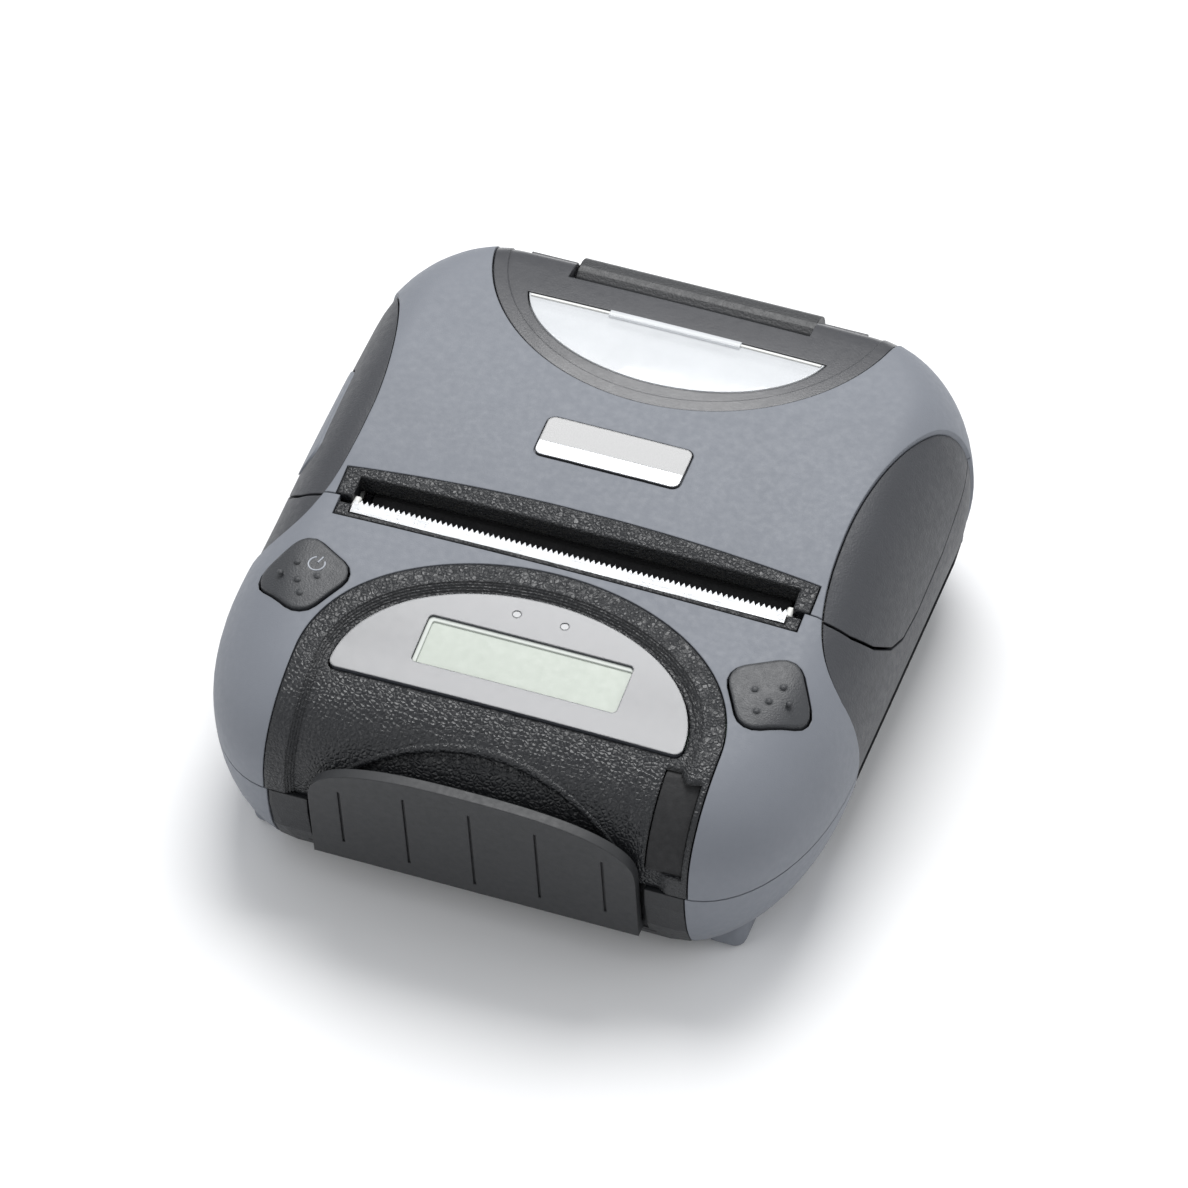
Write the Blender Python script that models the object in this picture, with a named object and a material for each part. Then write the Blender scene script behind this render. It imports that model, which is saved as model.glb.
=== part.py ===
"""A mobile receipt printer for 80 mm paper, as separate pieces with its working mechanism.

X is the width, -Y the front, +Z up. The origin is on the ground, under the middle of the printer.
"""
import math

import bmesh
import bpy
from mathutils import Matrix, Vector

MM = 0.001
DEG = math.pi / 180.0

# Clearances shared by the whole printer
GAP = 0.3 * MM
SEAM = 0.3 * MM
OVERRUN = 5.0 * MM
WELD = 0.002 * MM
TOUCH = 0.05 * MM

# Driving dimensions of the body; the tear blade's line is the reference for places along Y and Z
HALF_WIDTH = 58.6 * MM
BLADE_Y = -11.2 * MM
BLADE_Z = 47.0 * MM
FRONT_Y = BLADE_Y - 50.2 * MM
REAR_Y = BLADE_Y + 76.0 * MM
WIDEST_Z = BLADE_Z - 21.0 * MM
CASE_UNDERSIDE_Z = 1.5 * MM
WALL = 1.8 * MM
SKIN_STEP = 0.6 * MM

# How far the upper edges roll in, at the sides, the front and the rear, and the same for the lower edges
UPPER_ROLL_SIDE = 14.0 * MM
UPPER_ROLL_FRONT = 17.0 * MM
UPPER_ROLL_REAR = 8.0 * MM
LOWER_ROLL_SIDE = 16.0 * MM
LOWER_ROLL_FRONT = 11.0 * MM
LOWER_ROLL_REAR = 9.0 * MM

# Corners of the plan, each a quarter ellipse
FRONT_CORNER_X = 20.0 * MM
FRONT_CORNER_Y = 35.0 * MM
REAR_CORNER_X = 20.0 * MM
REAR_CORNER_Y = 26.0 * MM
FRONT_CORNER_SHARE = 0.40
REAR_CORNER_SHARE = 0.34

# Height of the top's middle line above the blade, at places behind the blade
CROWN_POINTS = (
    (-52.0 * MM, -5.2 * MM),
    (-33.0 * MM, -3.9 * MM),
    (-19.0 * MM, -1.7 * MM),
    (0.0 * MM, 0.0 * MM),
    (9.0 * MM, 1.9 * MM),
    (20.0 * MM, 3.3 * MM),
    (38.0 * MM, 4.2 * MM),
    (58.0 * MM, 3.7 * MM),
    (78.0 * MM, 1.4 * MM),
)
CROWN_SIDE_DROP = 0.7 * MM

# Split between lid and base, seen from the side, as places behind and above the blade
LID_SPLIT_POINTS = (
    (1.0 * MM, 12.0 * MM),
    (1.0 * MM, -1.5 * MM),
    (2.0 * MM, -4.5 * MM),
    (5.2 * MM, -9.2 * MM),
    (10.5 * MM, -14.0 * MM),
    (16.0 * MM, -16.6 * MM),
    (24.0 * MM, -17.6 * MM),
    (39.0 * MM, -16.8 * MM),
    (55.0 * MM, -13.4 * MM),
    (76.0 * MM, -10.5 * MM),
)
FRONT_SEAM_Z = BLADE_Z - 24.4 * MM
GRIP_LOWER_Z = BLADE_Z - 31.0 * MM

# Side grips: their edge in plan is half a rounded lens, longer towards the rear
GRIP_CENTRE_X = HALF_WIDTH + 1.9 * MM
GRIP_DEPTH = 15.0 * MM
GRIP_CENTRE_Y = BLADE_Y + 21.0 * MM
GRIP_FRONT_REACH = 32.5 * MM
GRIP_REAR_REACH = 41.0 * MM
GRIP_FRONT_POWER = 2.6
GRIP_REAR_POWER = 1.7

# Front panel: the outline is half an ellipse in plan, and the display lens is a smaller one with a chord
ARCH_CENTRE_Y = BLADE_Y - 33.0 * MM
ARCH_HALF_WIDTH = HALF_WIDTH - 19.1 * MM
ARCH_LENGTH = 28.0 * MM
ARCH_BAND = 5.2 * MM
PANEL_RECESS = 1.0 * MM
PANEL_WALL = 4.2 * MM
LENS_CHORD_Y = BLADE_Y - 33.4 * MM
LENS_HALF_WIDTH = ARCH_HALF_WIDTH - 6.5 * MM
LENS_LENGTH = 22.2 * MM
LENS_CORNER = 1.6 * MM
LENS_THICKNESS = 1.2 * MM

# Display module and the board that carries it
LCD_HALF_WIDTH = LENS_HALF_WIDTH - 13.8 * MM
LCD_REAR_Y = BLADE_Y - 19.7 * MM
LCD_FRONT_Y = BLADE_Y - 30.0 * MM
LCD_THICKNESS = 2.6 * MM
LCD_BORDER = 1.5 * MM
LAMP_RADIUS = 0.8 * MM
LAMP_HEIGHT = 2.0 * MM
LAMP_XS = (-4.5 * MM, 4.5 * MM)
LAMP_Y = BLADE_Y - 15.2 * MM
BOARD_THICKNESS = 1.2 * MM
CONTROL_BOARD_HALF_WIDTH = HALF_WIDTH - 11.1 * MM
CONTROL_BOARD_FRONT_Y = BLADE_Y - 30.0 * MM
CONTROL_BOARD_REAR_Y = BLADE_Y - 12.0 * MM
CONTROL_BOARD_Z = BLADE_Z - 10.0 * MM

# Key buttons, rounded squares turned to follow the corner lobes
BUTTON_X = HALF_WIDTH - 14.9 * MM
BUTTON_Y = BLADE_Y - 18.1 * MM
BUTTON_SIDE = 13.2 * MM
BUTTON_CORNER = 3.6 * MM
BUTTON_TURN = 30.0 * DEG
BUTTON_PROUD = 0.5 * MM
BUTTON_GAP = 0.45 * MM
BUTTON_SKIRT = 3.2 * MM
BUTTON_FLANGE = 0.9 * MM
BUTTON_TRAVEL = 0.8 * MM
SWITCH_SIDE = 6.0 * MM
SWITCH_HEIGHT = 3.0 * MM
PLUNGER_RADIUS = 1.6 * MM

# Paper slot, tear blade and the lips on both sides
SLOT_HALF_WIDTH = HALF_WIDTH - 17.0 * MM
SLOT_FRONT_Y = BLADE_Y - 0.6 * MM
SLOT_REAR_Y = BLADE_Y + 5.4 * MM
LIP_HALF_WIDTH = SLOT_HALF_WIDTH + 3.0 * MM
LIP_END_REACH = 1.4 * MM
LIP_CROWN_REACH = 3.6 * MM
SLOT_FRAME_FRONT_Y = BLADE_Y - 3.2 * MM
SLOT_FRAME_HALF_WIDTH = SLOT_HALF_WIDTH + 2.0 * MM
BLADE_HALF_WIDTH = SLOT_HALF_WIDTH - 0.6 * MM
BLADE_STRIP_DEPTH = 1.9 * MM
BLADE_TOOTH_PITCH = 1.0 * MM
BLADE_TOOTH_HEIGHT = 0.8 * MM
BLADE_THICKNESS = 0.5 * MM
BLADE_TILT = 18.0 * DEG
FRAME_DEPTH = 3.4 * MM

# Name plate on the lid
PLATE_HALF_LENGTH = 13.7 * MM
PLATE_HALF_HEIGHT = 4.6 * MM
PLATE_CORNER = 1.4 * MM
PLATE_Y = BLADE_Y + 23.5 * MM
PLATE_PROUD = 0.25 * MM
PLATE_SINK = 0.9 * MM

# Rear panel of the lid and its window
REAR_PANEL_CENTRE_Y = BLADE_Y + 73.2 * MM
REAR_PANEL_HALF_WIDTH = HALF_WIDTH - 19.8 * MM
REAR_PANEL_LENGTH = 36.4 * MM
WINDOW_CENTRE_Y = BLADE_Y + 62.0 * MM
WINDOW_HALF_WIDTH = REAR_PANEL_HALF_WIDTH - 9.4 * MM
WINDOW_LENGTH = 19.8 * MM
WINDOW_CHORD_Y = BLADE_Y + 58.2 * MM
WINDOW_LIP = 1.5 * MM
LINER_WALL = 1.4 * MM
LINER_HALF_WIDTH = SLOT_HALF_WIDTH - 0.6 * MM

# Lid hinge at the rear, as places in the part's frame
HINGE_Y = BLADE_Y + 70.3 * MM
HINGE_Z = BLADE_Z - 4.7 * MM
HINGE_BARREL_RADIUS = 5.0 * MM
HINGE_KNUCKLE_RADIUS = 3.4 * MM
HINGE_SWEEP_RADIUS = 8.8 * MM
HINGE_PIN_RADIUS = 1.25 * MM
HINGE_TOWER_HALF_WIDTH = 23.0 * MM
HINGE_KNUCKLE_WIDTH = 9.0 * MM
HINGE_PIN_HALF_LENGTH = 32.5 * MM
NOTCH_FRONT_Y = HINGE_Y - HINGE_BARREL_RADIUS - 2 * GAP

# Bottom case
CASE_WALL = 1.3 * MM
CASE_FLOOR_TOP_Z = 3.1 * MM
CASE_HOLLOW_HALF_WIDTH = HALF_WIDTH - 14.6 * MM
CASE_HOLLOW_FRONT_Y = BLADE_Y - 41.3 * MM
CASE_HOLLOW_REAR_Y = BLADE_Y + 66.0 * MM
CASE_HOLLOW_TOP_Z = 14.0 * MM
CASE_INNER_STEP = 2.1 * MM
CASE_LEDGE_Z = BLADE_Z - 19.4 * MM
SWIPE_WALL_Y = BLADE_Y - 46.6 * MM
SWIPE_HALF_WIDTH = ARCH_HALF_WIDTH - 7.9 * MM
SWIPE_TOP_CENTRE_Z = BLADE_Z - 9.0 * MM
SWIPE_ARCH_BASE_Z = BLADE_Z - 24.4 * MM
SWIPE_ARCH_HALF_WIDTH = SWIPE_HALF_WIDTH - 3.2 * MM
SWIPE_RECESS = 1.6 * MM
FOOT_INNER_X = HALF_WIDTH - 19.4 * MM
FOOT_OUTER_X = HALF_WIDTH - 11.8 * MM
FOOT_FRONT_Y = BLADE_Y - 39.6 * MM
FOOT_REAR_Y = BLADE_Y - 28.4 * MM
FOOT_TOP_Z = 7.0 * MM
FOOT_ROUND = 2.2 * MM
BUMPER_FRONT_REAR_Y = BLADE_Y - 11.6 * MM
BUMPER_REAR_FRONT_Y = BLADE_Y + 56.0 * MM
REAR_FOOT_FRONT_Y = BLADE_Y + 58.0 * MM
REAR_FOOT_REAR_Y = BLADE_Y + 69.0 * MM

# Card guide plate in front, leaning outwards
GUIDE_HALF_WIDTH = SWIPE_HALF_WIDTH - 1.0 * MM
GUIDE_BOTTOM_Z = BLADE_Z - 37.8 * MM
GUIDE_SHOULDER_Z = BLADE_Z - 22.0 * MM
GUIDE_CROWN_Z = BLADE_Z - 9.4 * MM
GUIDE_BOTTOM_Y = BLADE_Y - 49.6 * MM
GUIDE_LEAN = 8.0 * DEG
GUIDE_THICKNESS = 2.0 * MM
GUIDE_GROOVE_WIDTH = 0.5 * MM
GUIDE_GROOVE_DEPTH = 0.5 * MM
GUIDE_GROOVE_TOP_DROP = 4.5 * MM
GUIDE_GROOVE_BOTTOM_RISE = 5.0 * MM
GUIDE_GROOVE_PITCH = 12.3 * MM
GUIDE_GROOVE_COUNT = 5
GUIDE_CORNER_SHARE = 0.55
GUIDE_FLANGE = 2.2 * MM

# Port cover, the connector behind it, and its flap's hinge
PORT_INNER_X = ARCH_HALF_WIDTH - 7.9 * MM
PORT_OUTER_X = ARCH_HALF_WIDTH - 1.3 * MM
PORT_TOP_Z = BLADE_Z - 6.6 * MM
PORT_BOTTOM_Z = BLADE_Z - 19.6 * MM
PORT_THICKNESS = 1.4 * MM
PORT_KNUCKLE_RADIUS = 0.9 * MM
SOCKET_HALF_WIDTH = 3.3 * MM
SOCKET_HEIGHT = 7.0 * MM
SOCKET_MIDDLE_Z = BLADE_Z - 16.0 * MM
SOCKET_DEPTH = 11.1 * MM
SOCKET_WALL = 0.8 * MM
SOCKET_FRONT_Y = BLADE_Y - 43.5 * MM

# Card read head and its leaf spring
READ_HEAD_X = 5.0 * MM
READ_HEAD_HALF_WIDTH = 4.5 * MM
READ_HEAD_Z = BLADE_Z - 28.5 * MM
READ_HEAD_HALF_HEIGHT = 3.2 * MM
READ_HEAD_PROUD = 0.9 * MM
READ_HEAD_DEPTH = 4.6 * MM
READ_HEAD_TRAVEL = 0.4 * MM
LEAF_THICKNESS = 0.4 * MM
LEAF_GAP = 0.5 * MM
LEAF_HALF_LENGTH = 12.0 * MM

# Platen roller on the lid
PLATEN_Y = BLADE_Y + 7.5 * MM
PLATEN_Z = BLADE_Z - 9.5 * MM
PLATEN_RADIUS = 5.0 * MM
PLATEN_HALF_LENGTH = SLOT_HALF_WIDTH - 2.0 * MM
PLATEN_SHAFT_RADIUS = 1.5 * MM
PLATEN_SHAFT_END_X = SLOT_HALF_WIDTH + 5.8 * MM
BRACKET_INNER_X = PLATEN_HALF_LENGTH + 0.6 * MM
BRACKET_THICKNESS = 1.2 * MM
BRACKET_RADIUS = 3.4 * MM
BEARING_INNER_X = BRACKET_INNER_X + 1.8 * MM
BEARING_WIDTH = 1.7 * MM
BEARING_RADIUS = 3.4 * MM

# Gear train outside the right side plate
GEAR_MODULE = 0.5 * MM
PLATEN_GEAR_TEETH = 24
IDLER_TEETH = 30
PINION_TEETH = 10
GEAR_X = BEARING_INNER_X + 3.6 * MM
GEAR_WIDTH = 2.2 * MM
GEAR_BORE_PLAY = 0.15 * MM
GEAR_MESH_PLAY = 0.15 * MM
IDLER_STUD_RADIUS = 1.0 * MM
MOTOR_RADIUS = 7.5 * MM
MOTOR_LENGTH = 17.0 * MM
MOTOR_SHAFT_RADIUS = 0.75 * MM
MOTOR_FROM_IDLER_ANGLE = 234.0 * DEG

# Print mechanism frame in the base, and the print head on its pivot
CHASSIS_PLATE_X = BEARING_INNER_X + 0.1 * MM
CHASSIS_PLATE_THICKNESS = 1.3 * MM
CHASSIS_FRONT_Y = BLADE_Y - 8.6 * MM
CHASSIS_REAR_Y = BLADE_Y + 13.0 * MM
CHASSIS_TOP_Z = BLADE_Z - 5.6 * MM
CHASSIS_FLOOR_Z = 5.2 * MM
CHASSIS_FLANGE_Z = BLADE_Z - 8.2 * MM
CHASSIS_FLANGE_DEPTH = 4.6 * MM
HEAD_HALF_WIDTH = PLATEN_HALF_LENGTH + 0.2 * MM
HEAD_FACE_GAP = 0.45 * MM
HEAD_THICKNESS = 1.8 * MM
HEAD_BOTTOM_Z = BLADE_Z - 19.0 * MM
HEAD_TOP_Z = BLADE_Z - 4.4 * MM
HEAD_PIVOT_Y = BLADE_Y - 0.9 * MM
HEAD_PIVOT_Z = BLADE_Z - 20.6 * MM
HEAD_PIVOT_RADIUS = 1.2 * MM
HEAD_ARM_LENGTH = 5.4 * MM
HEAD_ARM_THICKNESS = 1.4 * MM
HEAD_RETREAT = 1.2 * DEG
HEAD_STRIP_HEIGHT = 4.0 * MM
HEAD_STRIP_THICKNESS = 0.8 * MM
HEAD_SPRING_X = 16.0 * MM
HEAD_SHELF_HALF_WIDTH = 19.5 * MM
HEAD_SHELF_Z = 15.2 * MM
HEAD_SHELF_DEPTH = 5.0 * MM
CHASSIS_SHEET = 1.2 * MM
HEAD_SPRING_RADIUS = 1.7 * MM
HEAD_SPRING_WIRE = 0.35 * MM
HEAD_SPRING_TURNS = 5

# Paper guides at both ends of the slot
PAPER_GUIDE_X = SLOT_HALF_WIDTH - 1.3 * MM
PAPER_GUIDE_THICKNESS = 1.3 * MM
PAPER_GUIDE_DEPTH = 2.6 * MM
PAPER_GUIDE_BOTTOM_Z = BLADE_Z - 6.4 * MM
PAPER_GUIDE_TOP_Z = BLADE_Z - 1.2 * MM
PAPER_GUIDE_Y = BLADE_Y + 1.1 * MM

# Paper roll and the bay under it
ROLL_Y = BLADE_Y + 40.0 * MM
BAY_Z = 26.0 * MM
BAY_RADIUS = 21.0 * MM
BAY_WALL = 1.2 * MM
BAY_HALF_WIDTH = SLOT_HALF_WIDTH - 0.4 * MM
BAY_TOP_Z = 33.5 * MM
ROLL_RADIUS = 19.4 * MM
ROLL_HALF_WIDTH = SLOT_HALF_WIDTH - 1.8 * MM
CORE_RADIUS = 8.0 * MM
CORE_WALL = 1.5 * MM

# Lid opening range
LID_OPEN = 80.0 * DEG

# Latch shaft across the lid with two hooks, and the button that turns it
LATCH_Y = BLADE_Y + 18.5 * MM
LATCH_Z = BLADE_Z - 8.6 * MM
LATCH_SHAFT_RADIUS = 1.2 * MM
LATCH_HOOK_X = CHASSIS_PLATE_X + 2.8 * MM
LATCH_HOOK_THICKNESS = 1.6 * MM
LATCH_HOOK_LENGTH = 11.0 * MM
LATCH_HOOK_WIDTH = 3.0 * MM
LATCH_NOSE = 1.6 * MM
LATCH_SWING = 10.0 * DEG
OPEN_BUTTON_Y = BLADE_Y + 24.0 * MM
OPEN_BUTTON_Z = BLADE_Z - 8.2 * MM
OPEN_BUTTON_HALF_LENGTH = 12.5 * MM
OPEN_BUTTON_HALF_HEIGHT = 4.2 * MM
OPEN_BUTTON_GAP = 0.5 * MM
OPEN_BUTTON_DEPTH = 2.6 * MM
OPEN_BUTTON_TRAVEL = 2.0 * MM

# Battery, its latch and its contacts
BATTERY_HALF_WIDTH = HALF_WIDTH - 23.6 * MM
BATTERY_FRONT_Y = BLADE_Y - 41.0 * MM
BATTERY_REAR_Y = BLADE_Y - 10.4 * MM
BATTERY_TOP_Z = 19.0 * MM
BATTERY_ROUND = 2.5 * MM
BATTERY_LIP = 1.5 * MM
LATCH_SLIDER_HALF_WIDTH = 6.0 * MM
LATCH_SLIDER_DEPTH = 5.0 * MM
LATCH_SLIDER_TRAVEL = 1.5 * MM
LATCH_SLIDER_PLAY = 0.4 * MM
CONTACT_COUNT = 4
CONTACT_PITCH = 4.0 * MM
CONTACT_SIDE = 1.6 * MM

# Main board and fasteners
MAIN_BOARD_Z = 19.6 * MM
MAIN_BOARD_FRONT_Y = BLADE_Y - 40.0 * MM
MAIN_BOARD_REAR_Y = BLADE_Y - 10.0 * MM
MAIN_BOARD_HALF_WIDTH = BATTERY_HALF_WIDTH + 3.0 * MM
BOSS_RADIUS = 3.6 * MM
BOSS_X = HALF_WIDTH - 12.4 * MM
BOSS_YS = (BLADE_Y - 21.5 * MM, BLADE_Y + 53.0 * MM)
SCREW_HEAD_RADIUS = 2.2 * MM
SCREW_SHANK_RADIUS = 1.1 * MM
SCREW_LENGTH = 8.0 * MM
SCREW_HEAD_HEIGHT = 1.4 * MM
PILLAR_RADIUS = 1.6 * MM
PILLAR_X = ARCH_HALF_WIDTH - 4.9 * MM
PILLAR_Y = BLADE_Y - 14.5 * MM

# Mesh fineness
CORNER_STEPS = 8
STRAIGHT_STEPS = 3
ROLL_STEPS = 5
CAP_SHARES = (0.66, 0.30)
ROUND_SIDES = 24
SMALL_SIDES = 12
ARC_STEPS = 20

COLLECTION = "mobile_printer"
CUTTERS = "cutters"


def clear_scene():
    for thing in list(bpy.data.objects):
        bpy.data.objects.remove(thing, do_unlink=True)
    for name in (COLLECTION, CUTTERS):
        group = bpy.data.collections.new(name)
        bpy.context.scene.collection.children.link(group)


def material(name, colour, roughness, metallic=0.0, alpha=1.0):
    made = bpy.data.materials.get(name)
    if made is None:
        made = bpy.data.materials.new(name)
        made.use_nodes = True
        shader = made.node_tree.nodes["Principled BSDF"]
        shader.inputs["Base Color"].default_value = (*colour, 1.0)
        shader.inputs["Roughness"].default_value = roughness
        shader.inputs["Metallic"].default_value = metallic
        shader.inputs["Alpha"].default_value = alpha
    return made


# Colours as linear values, read from the photo by eye
GREY_SOFT = ("soft_grey", (0.30, 0.33, 0.38), 0.6)
DARK_GRIP = ("dark_grip", (0.06, 0.064, 0.07), 0.55)
BLACK_GRAIN = ("black_grain", (0.02, 0.021, 0.023), 0.42)
CHARCOAL = ("charcoal", (0.03, 0.031, 0.032), 0.5)
LID_DARK = ("lid_dark", (0.09, 0.093, 0.1), 0.45)
STEEL = ("steel", (0.6, 0.6, 0.6), 0.3, 1.0)
WHITE_PLASTIC = ("white_plastic", (0.8, 0.8, 0.78), 0.5)
PAPER = ("paper", (0.9, 0.9, 0.88), 0.9)
CLEAR = ("clear", (0.9, 0.93, 0.95), 0.08, 0.0, 0.3)
LENS_DARK = ("lens_dark", (0.11, 0.118, 0.13), 0.25)
SCREEN = ("screen", (0.6, 0.66, 0.56), 0.3)
BOARD_GREEN = ("board_green", (0.02, 0.12, 0.05), 0.5)
RUBBER = ("rubber", (0.02, 0.02, 0.02), 0.85)
CARD_BROWN = ("card_brown", (0.35, 0.24, 0.13), 0.9)
CERAMIC = ("ceramic", (0.75, 0.72, 0.62), 0.35)
GEAR_WHITE = ("gear_white", (0.75, 0.75, 0.7), 0.5)


def mesh_object(name, bm, cutter=False):
    """Store a bmesh as an object, in the part's collection or among the cutters."""
    bmesh.ops.recalc_face_normals(bm, faces=bm.faces)
    mesh = bpy.data.meshes.new(name)
    bm.to_mesh(mesh)
    bm.free()
    thing = bpy.data.objects.new(name, mesh)
    group = CUTTERS if cutter else COLLECTION
    bpy.data.collections[group].objects.link(thing)
    if cutter:
        thing.hide_render = True
        thing.display_type = "WIRE"
    return thing


def clean(thing):
    """Weld what the Booleans left almost touching, and drop faces of no area."""
    bm = bmesh.new()
    bm.from_mesh(thing.data)
    bmesh.ops.remove_doubles(bm, verts=bm.verts, dist=WELD)
    bmesh.ops.dissolve_degenerate(bm, edges=bm.edges, dist=WELD)
    bm.to_mesh(thing.data)
    bm.free()


def finish_piece(thing, look, sharp_angle=35.0 * DEG):
    clean(thing)
    thing.data.materials.clear()
    thing.data.materials.append(material(*look))
    thing.data.shade_smooth()
    thing.data.set_sharp_from_angle(angle=sharp_angle)
    return thing


def box(name, low, high, cutter=False):
    bm = bmesh.new()
    bmesh.ops.create_cube(bm, size=1.0)
    size = [h - l for l, h in zip(low, high)]
    middle = [(h + l) / 2 for l, h in zip(low, high)]
    bmesh.ops.scale(bm, vec=size, verts=bm.verts)
    bmesh.ops.translate(bm, vec=middle, verts=bm.verts)
    return mesh_object(name, bm, cutter)


def rounded_box(name, low, high, radius, segments=3, cutter=False):
    thing = box(name, low, high, cutter)
    bm = bmesh.new()
    bm.from_mesh(thing.data)
    bmesh.ops.bevel(bm, geom=bm.edges[:], offset=radius, segments=segments, affect="EDGES", profile=0.5)
    bm.to_mesh(thing.data)
    bm.free()
    return thing


def axle(name, radius, x_low, x_high, y, z, sides=ROUND_SIDES, cutter=False):
    """A cylinder along X."""
    bm = bmesh.new()
    turn = Matrix.Translation(((x_low + x_high) / 2, y, z)) @ Matrix.Rotation(90.0 * DEG, 4, "Y")
    bmesh.ops.create_cone(
        bm, cap_ends=True, segments=sides, radius1=radius, radius2=radius, depth=x_high - x_low, matrix=turn
    )
    return mesh_object(name, bm, cutter)


def post(name, radius, x, y, z_low, z_high, sides=SMALL_SIDES, cutter=False):
    """A cylinder along Z."""
    bm = bmesh.new()
    place = Matrix.Translation((x, y, (z_low + z_high) / 2))
    bmesh.ops.create_cone(
        bm, cap_ends=True, segments=sides, radius1=radius, radius2=radius, depth=z_high - z_low, matrix=place
    )
    return mesh_object(name, bm, cutter)


def prism(name, outline, axis, low, high, cutter=False):
    """An outline of pairs, pushed from low to high along an axis; pairs are the other two axes in order."""
    bm = bmesh.new()
    verts = []
    for a, b in outline:
        place = {"X": (low, a, b), "Y": (a, low, b), "Z": (a, b, low)}[axis]
        verts.append(bm.verts.new(place))
    face = bm.faces.new(verts)
    push = {"X": (high - low, 0, 0), "Y": (0, high - low, 0), "Z": (0, 0, high - low)}[axis]
    grown = bmesh.ops.extrude_face_region(bm, geom=[face])
    moved = [v for v in grown["geom"] if isinstance(v, bmesh.types.BMVert)]
    bmesh.ops.translate(bm, vec=push, verts=moved)
    return mesh_object(name, bm, cutter)


def apply_boolean(thing, other, operation, keep_other=False):
    """Apply an exact Boolean at once, and drop the other solid unless it is needed again."""
    step = thing.modifiers.new(operation.lower(), "BOOLEAN")
    step.operation = operation
    step.solver = "EXACT"
    step.object = other
    graph = bpy.context.evaluated_depsgraph_get()
    result = bpy.data.meshes.new_from_object(thing.evaluated_get(graph))
    thing.modifiers.remove(step)
    thing.data = result
    clean(thing)
    if not keep_other:
        bpy.data.objects.remove(other, do_unlink=True)
    return thing


def cut(thing, other, keep_other=False):
    return apply_boolean(thing, other, "DIFFERENCE", keep_other)


def join(thing, other, keep_other=False):
    return apply_boolean(thing, other, "UNION", keep_other)


def keep(thing, other, keep_other=False):
    return apply_boolean(thing, other, "INTERSECT", keep_other)


def crown_height(y):
    """Height of the top's middle line at y, smoothed between the named points."""
    points = [(BLADE_Y + a, BLADE_Z + b) for a, b in CROWN_POINTS]
    if y <= points[0][0]:
        return points[0][1]
    for index in range(len(points) - 1):
        y0, z0 = points[index]
        y1, z1 = points[index + 1]
        if y <= y1:
            before = points[max(index - 1, 0)]
            after = points[min(index + 2, len(points) - 1)]
            slope0 = (z1 - before[1]) / (y1 - before[0])
            slope1 = (after[1] - z0) / (after[0] - y0)
            t = (y - y0) / (y1 - y0)
            span = y1 - y0
            return (
                (2 * t**3 - 3 * t**2 + 1) * z0
                + (t**3 - 2 * t**2 + t) * span * slope0
                + (3 * t**2 - 2 * t**3) * z1
                + (t**3 - t**2) * span * slope1
            )
    return points[-1][1]


def plan_outline(half_width, front, rear, front_x, front_y, rear_x, rear_y):
    """One ring of the body in plan: straight sides and elliptic corners, anticlockwise from the front's middle."""
    right = []
    for step in range(STRAIGHT_STEPS):
        right.append(((half_width - front_x) * step / STRAIGHT_STEPS, front))
    for step in range(CORNER_STEPS):
        angle = step / CORNER_STEPS * 90.0 * DEG
        x = half_width - front_x + front_x * math.sin(angle)
        y = front + front_y - front_y * math.cos(angle)
        right.append((x, y))
    side_low = front + front_y
    side_high = rear - rear_y
    for step in range(STRAIGHT_STEPS):
        right.append((half_width, side_low + (side_high - side_low) * step / STRAIGHT_STEPS))
    for step in range(CORNER_STEPS):
        angle = step / CORNER_STEPS * 90.0 * DEG
        x = half_width - rear_x + rear_x * math.cos(angle)
        y = rear - rear_y + rear_y * math.sin(angle)
        right.append((x, y))
    for step in range(STRAIGHT_STEPS + 1):
        right.append(((half_width - rear_x) * (1 - step / STRAIGHT_STEPS), rear))
    left = [(-x, y) for x, y in reversed(right[1:-1])]
    return right + left


def body_ring(angle, step, upper):
    """The ring at a roll angle from the widest level, moved inwards by a step."""
    tuck = 1 - math.cos(angle)
    side = UPPER_ROLL_SIDE if upper else LOWER_ROLL_SIDE
    front = UPPER_ROLL_FRONT if upper else LOWER_ROLL_FRONT
    rear = UPPER_ROLL_REAR if upper else LOWER_ROLL_REAR
    front_share = 1 - FRONT_CORNER_SHARE * tuck
    rear_share = 1 - REAR_CORNER_SHARE * tuck
    return plan_outline(
        HALF_WIDTH - step - (side - step) * tuck,
        FRONT_Y + step + (front - step) * tuck,
        REAR_Y - step - (rear - step) * tuck,
        (FRONT_CORNER_X - step) * front_share,
        (FRONT_CORNER_Y - step) * front_share,
        (REAR_CORNER_X - step) * rear_share,
        (REAR_CORNER_Y - step) * rear_share,
    )


def top_height(x, y, step=0.0):
    drop = CROWN_SIDE_DROP * (x / (HALF_WIDTH - UPPER_ROLL_SIDE)) ** 2
    return crown_height(y) - drop - step


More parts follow.
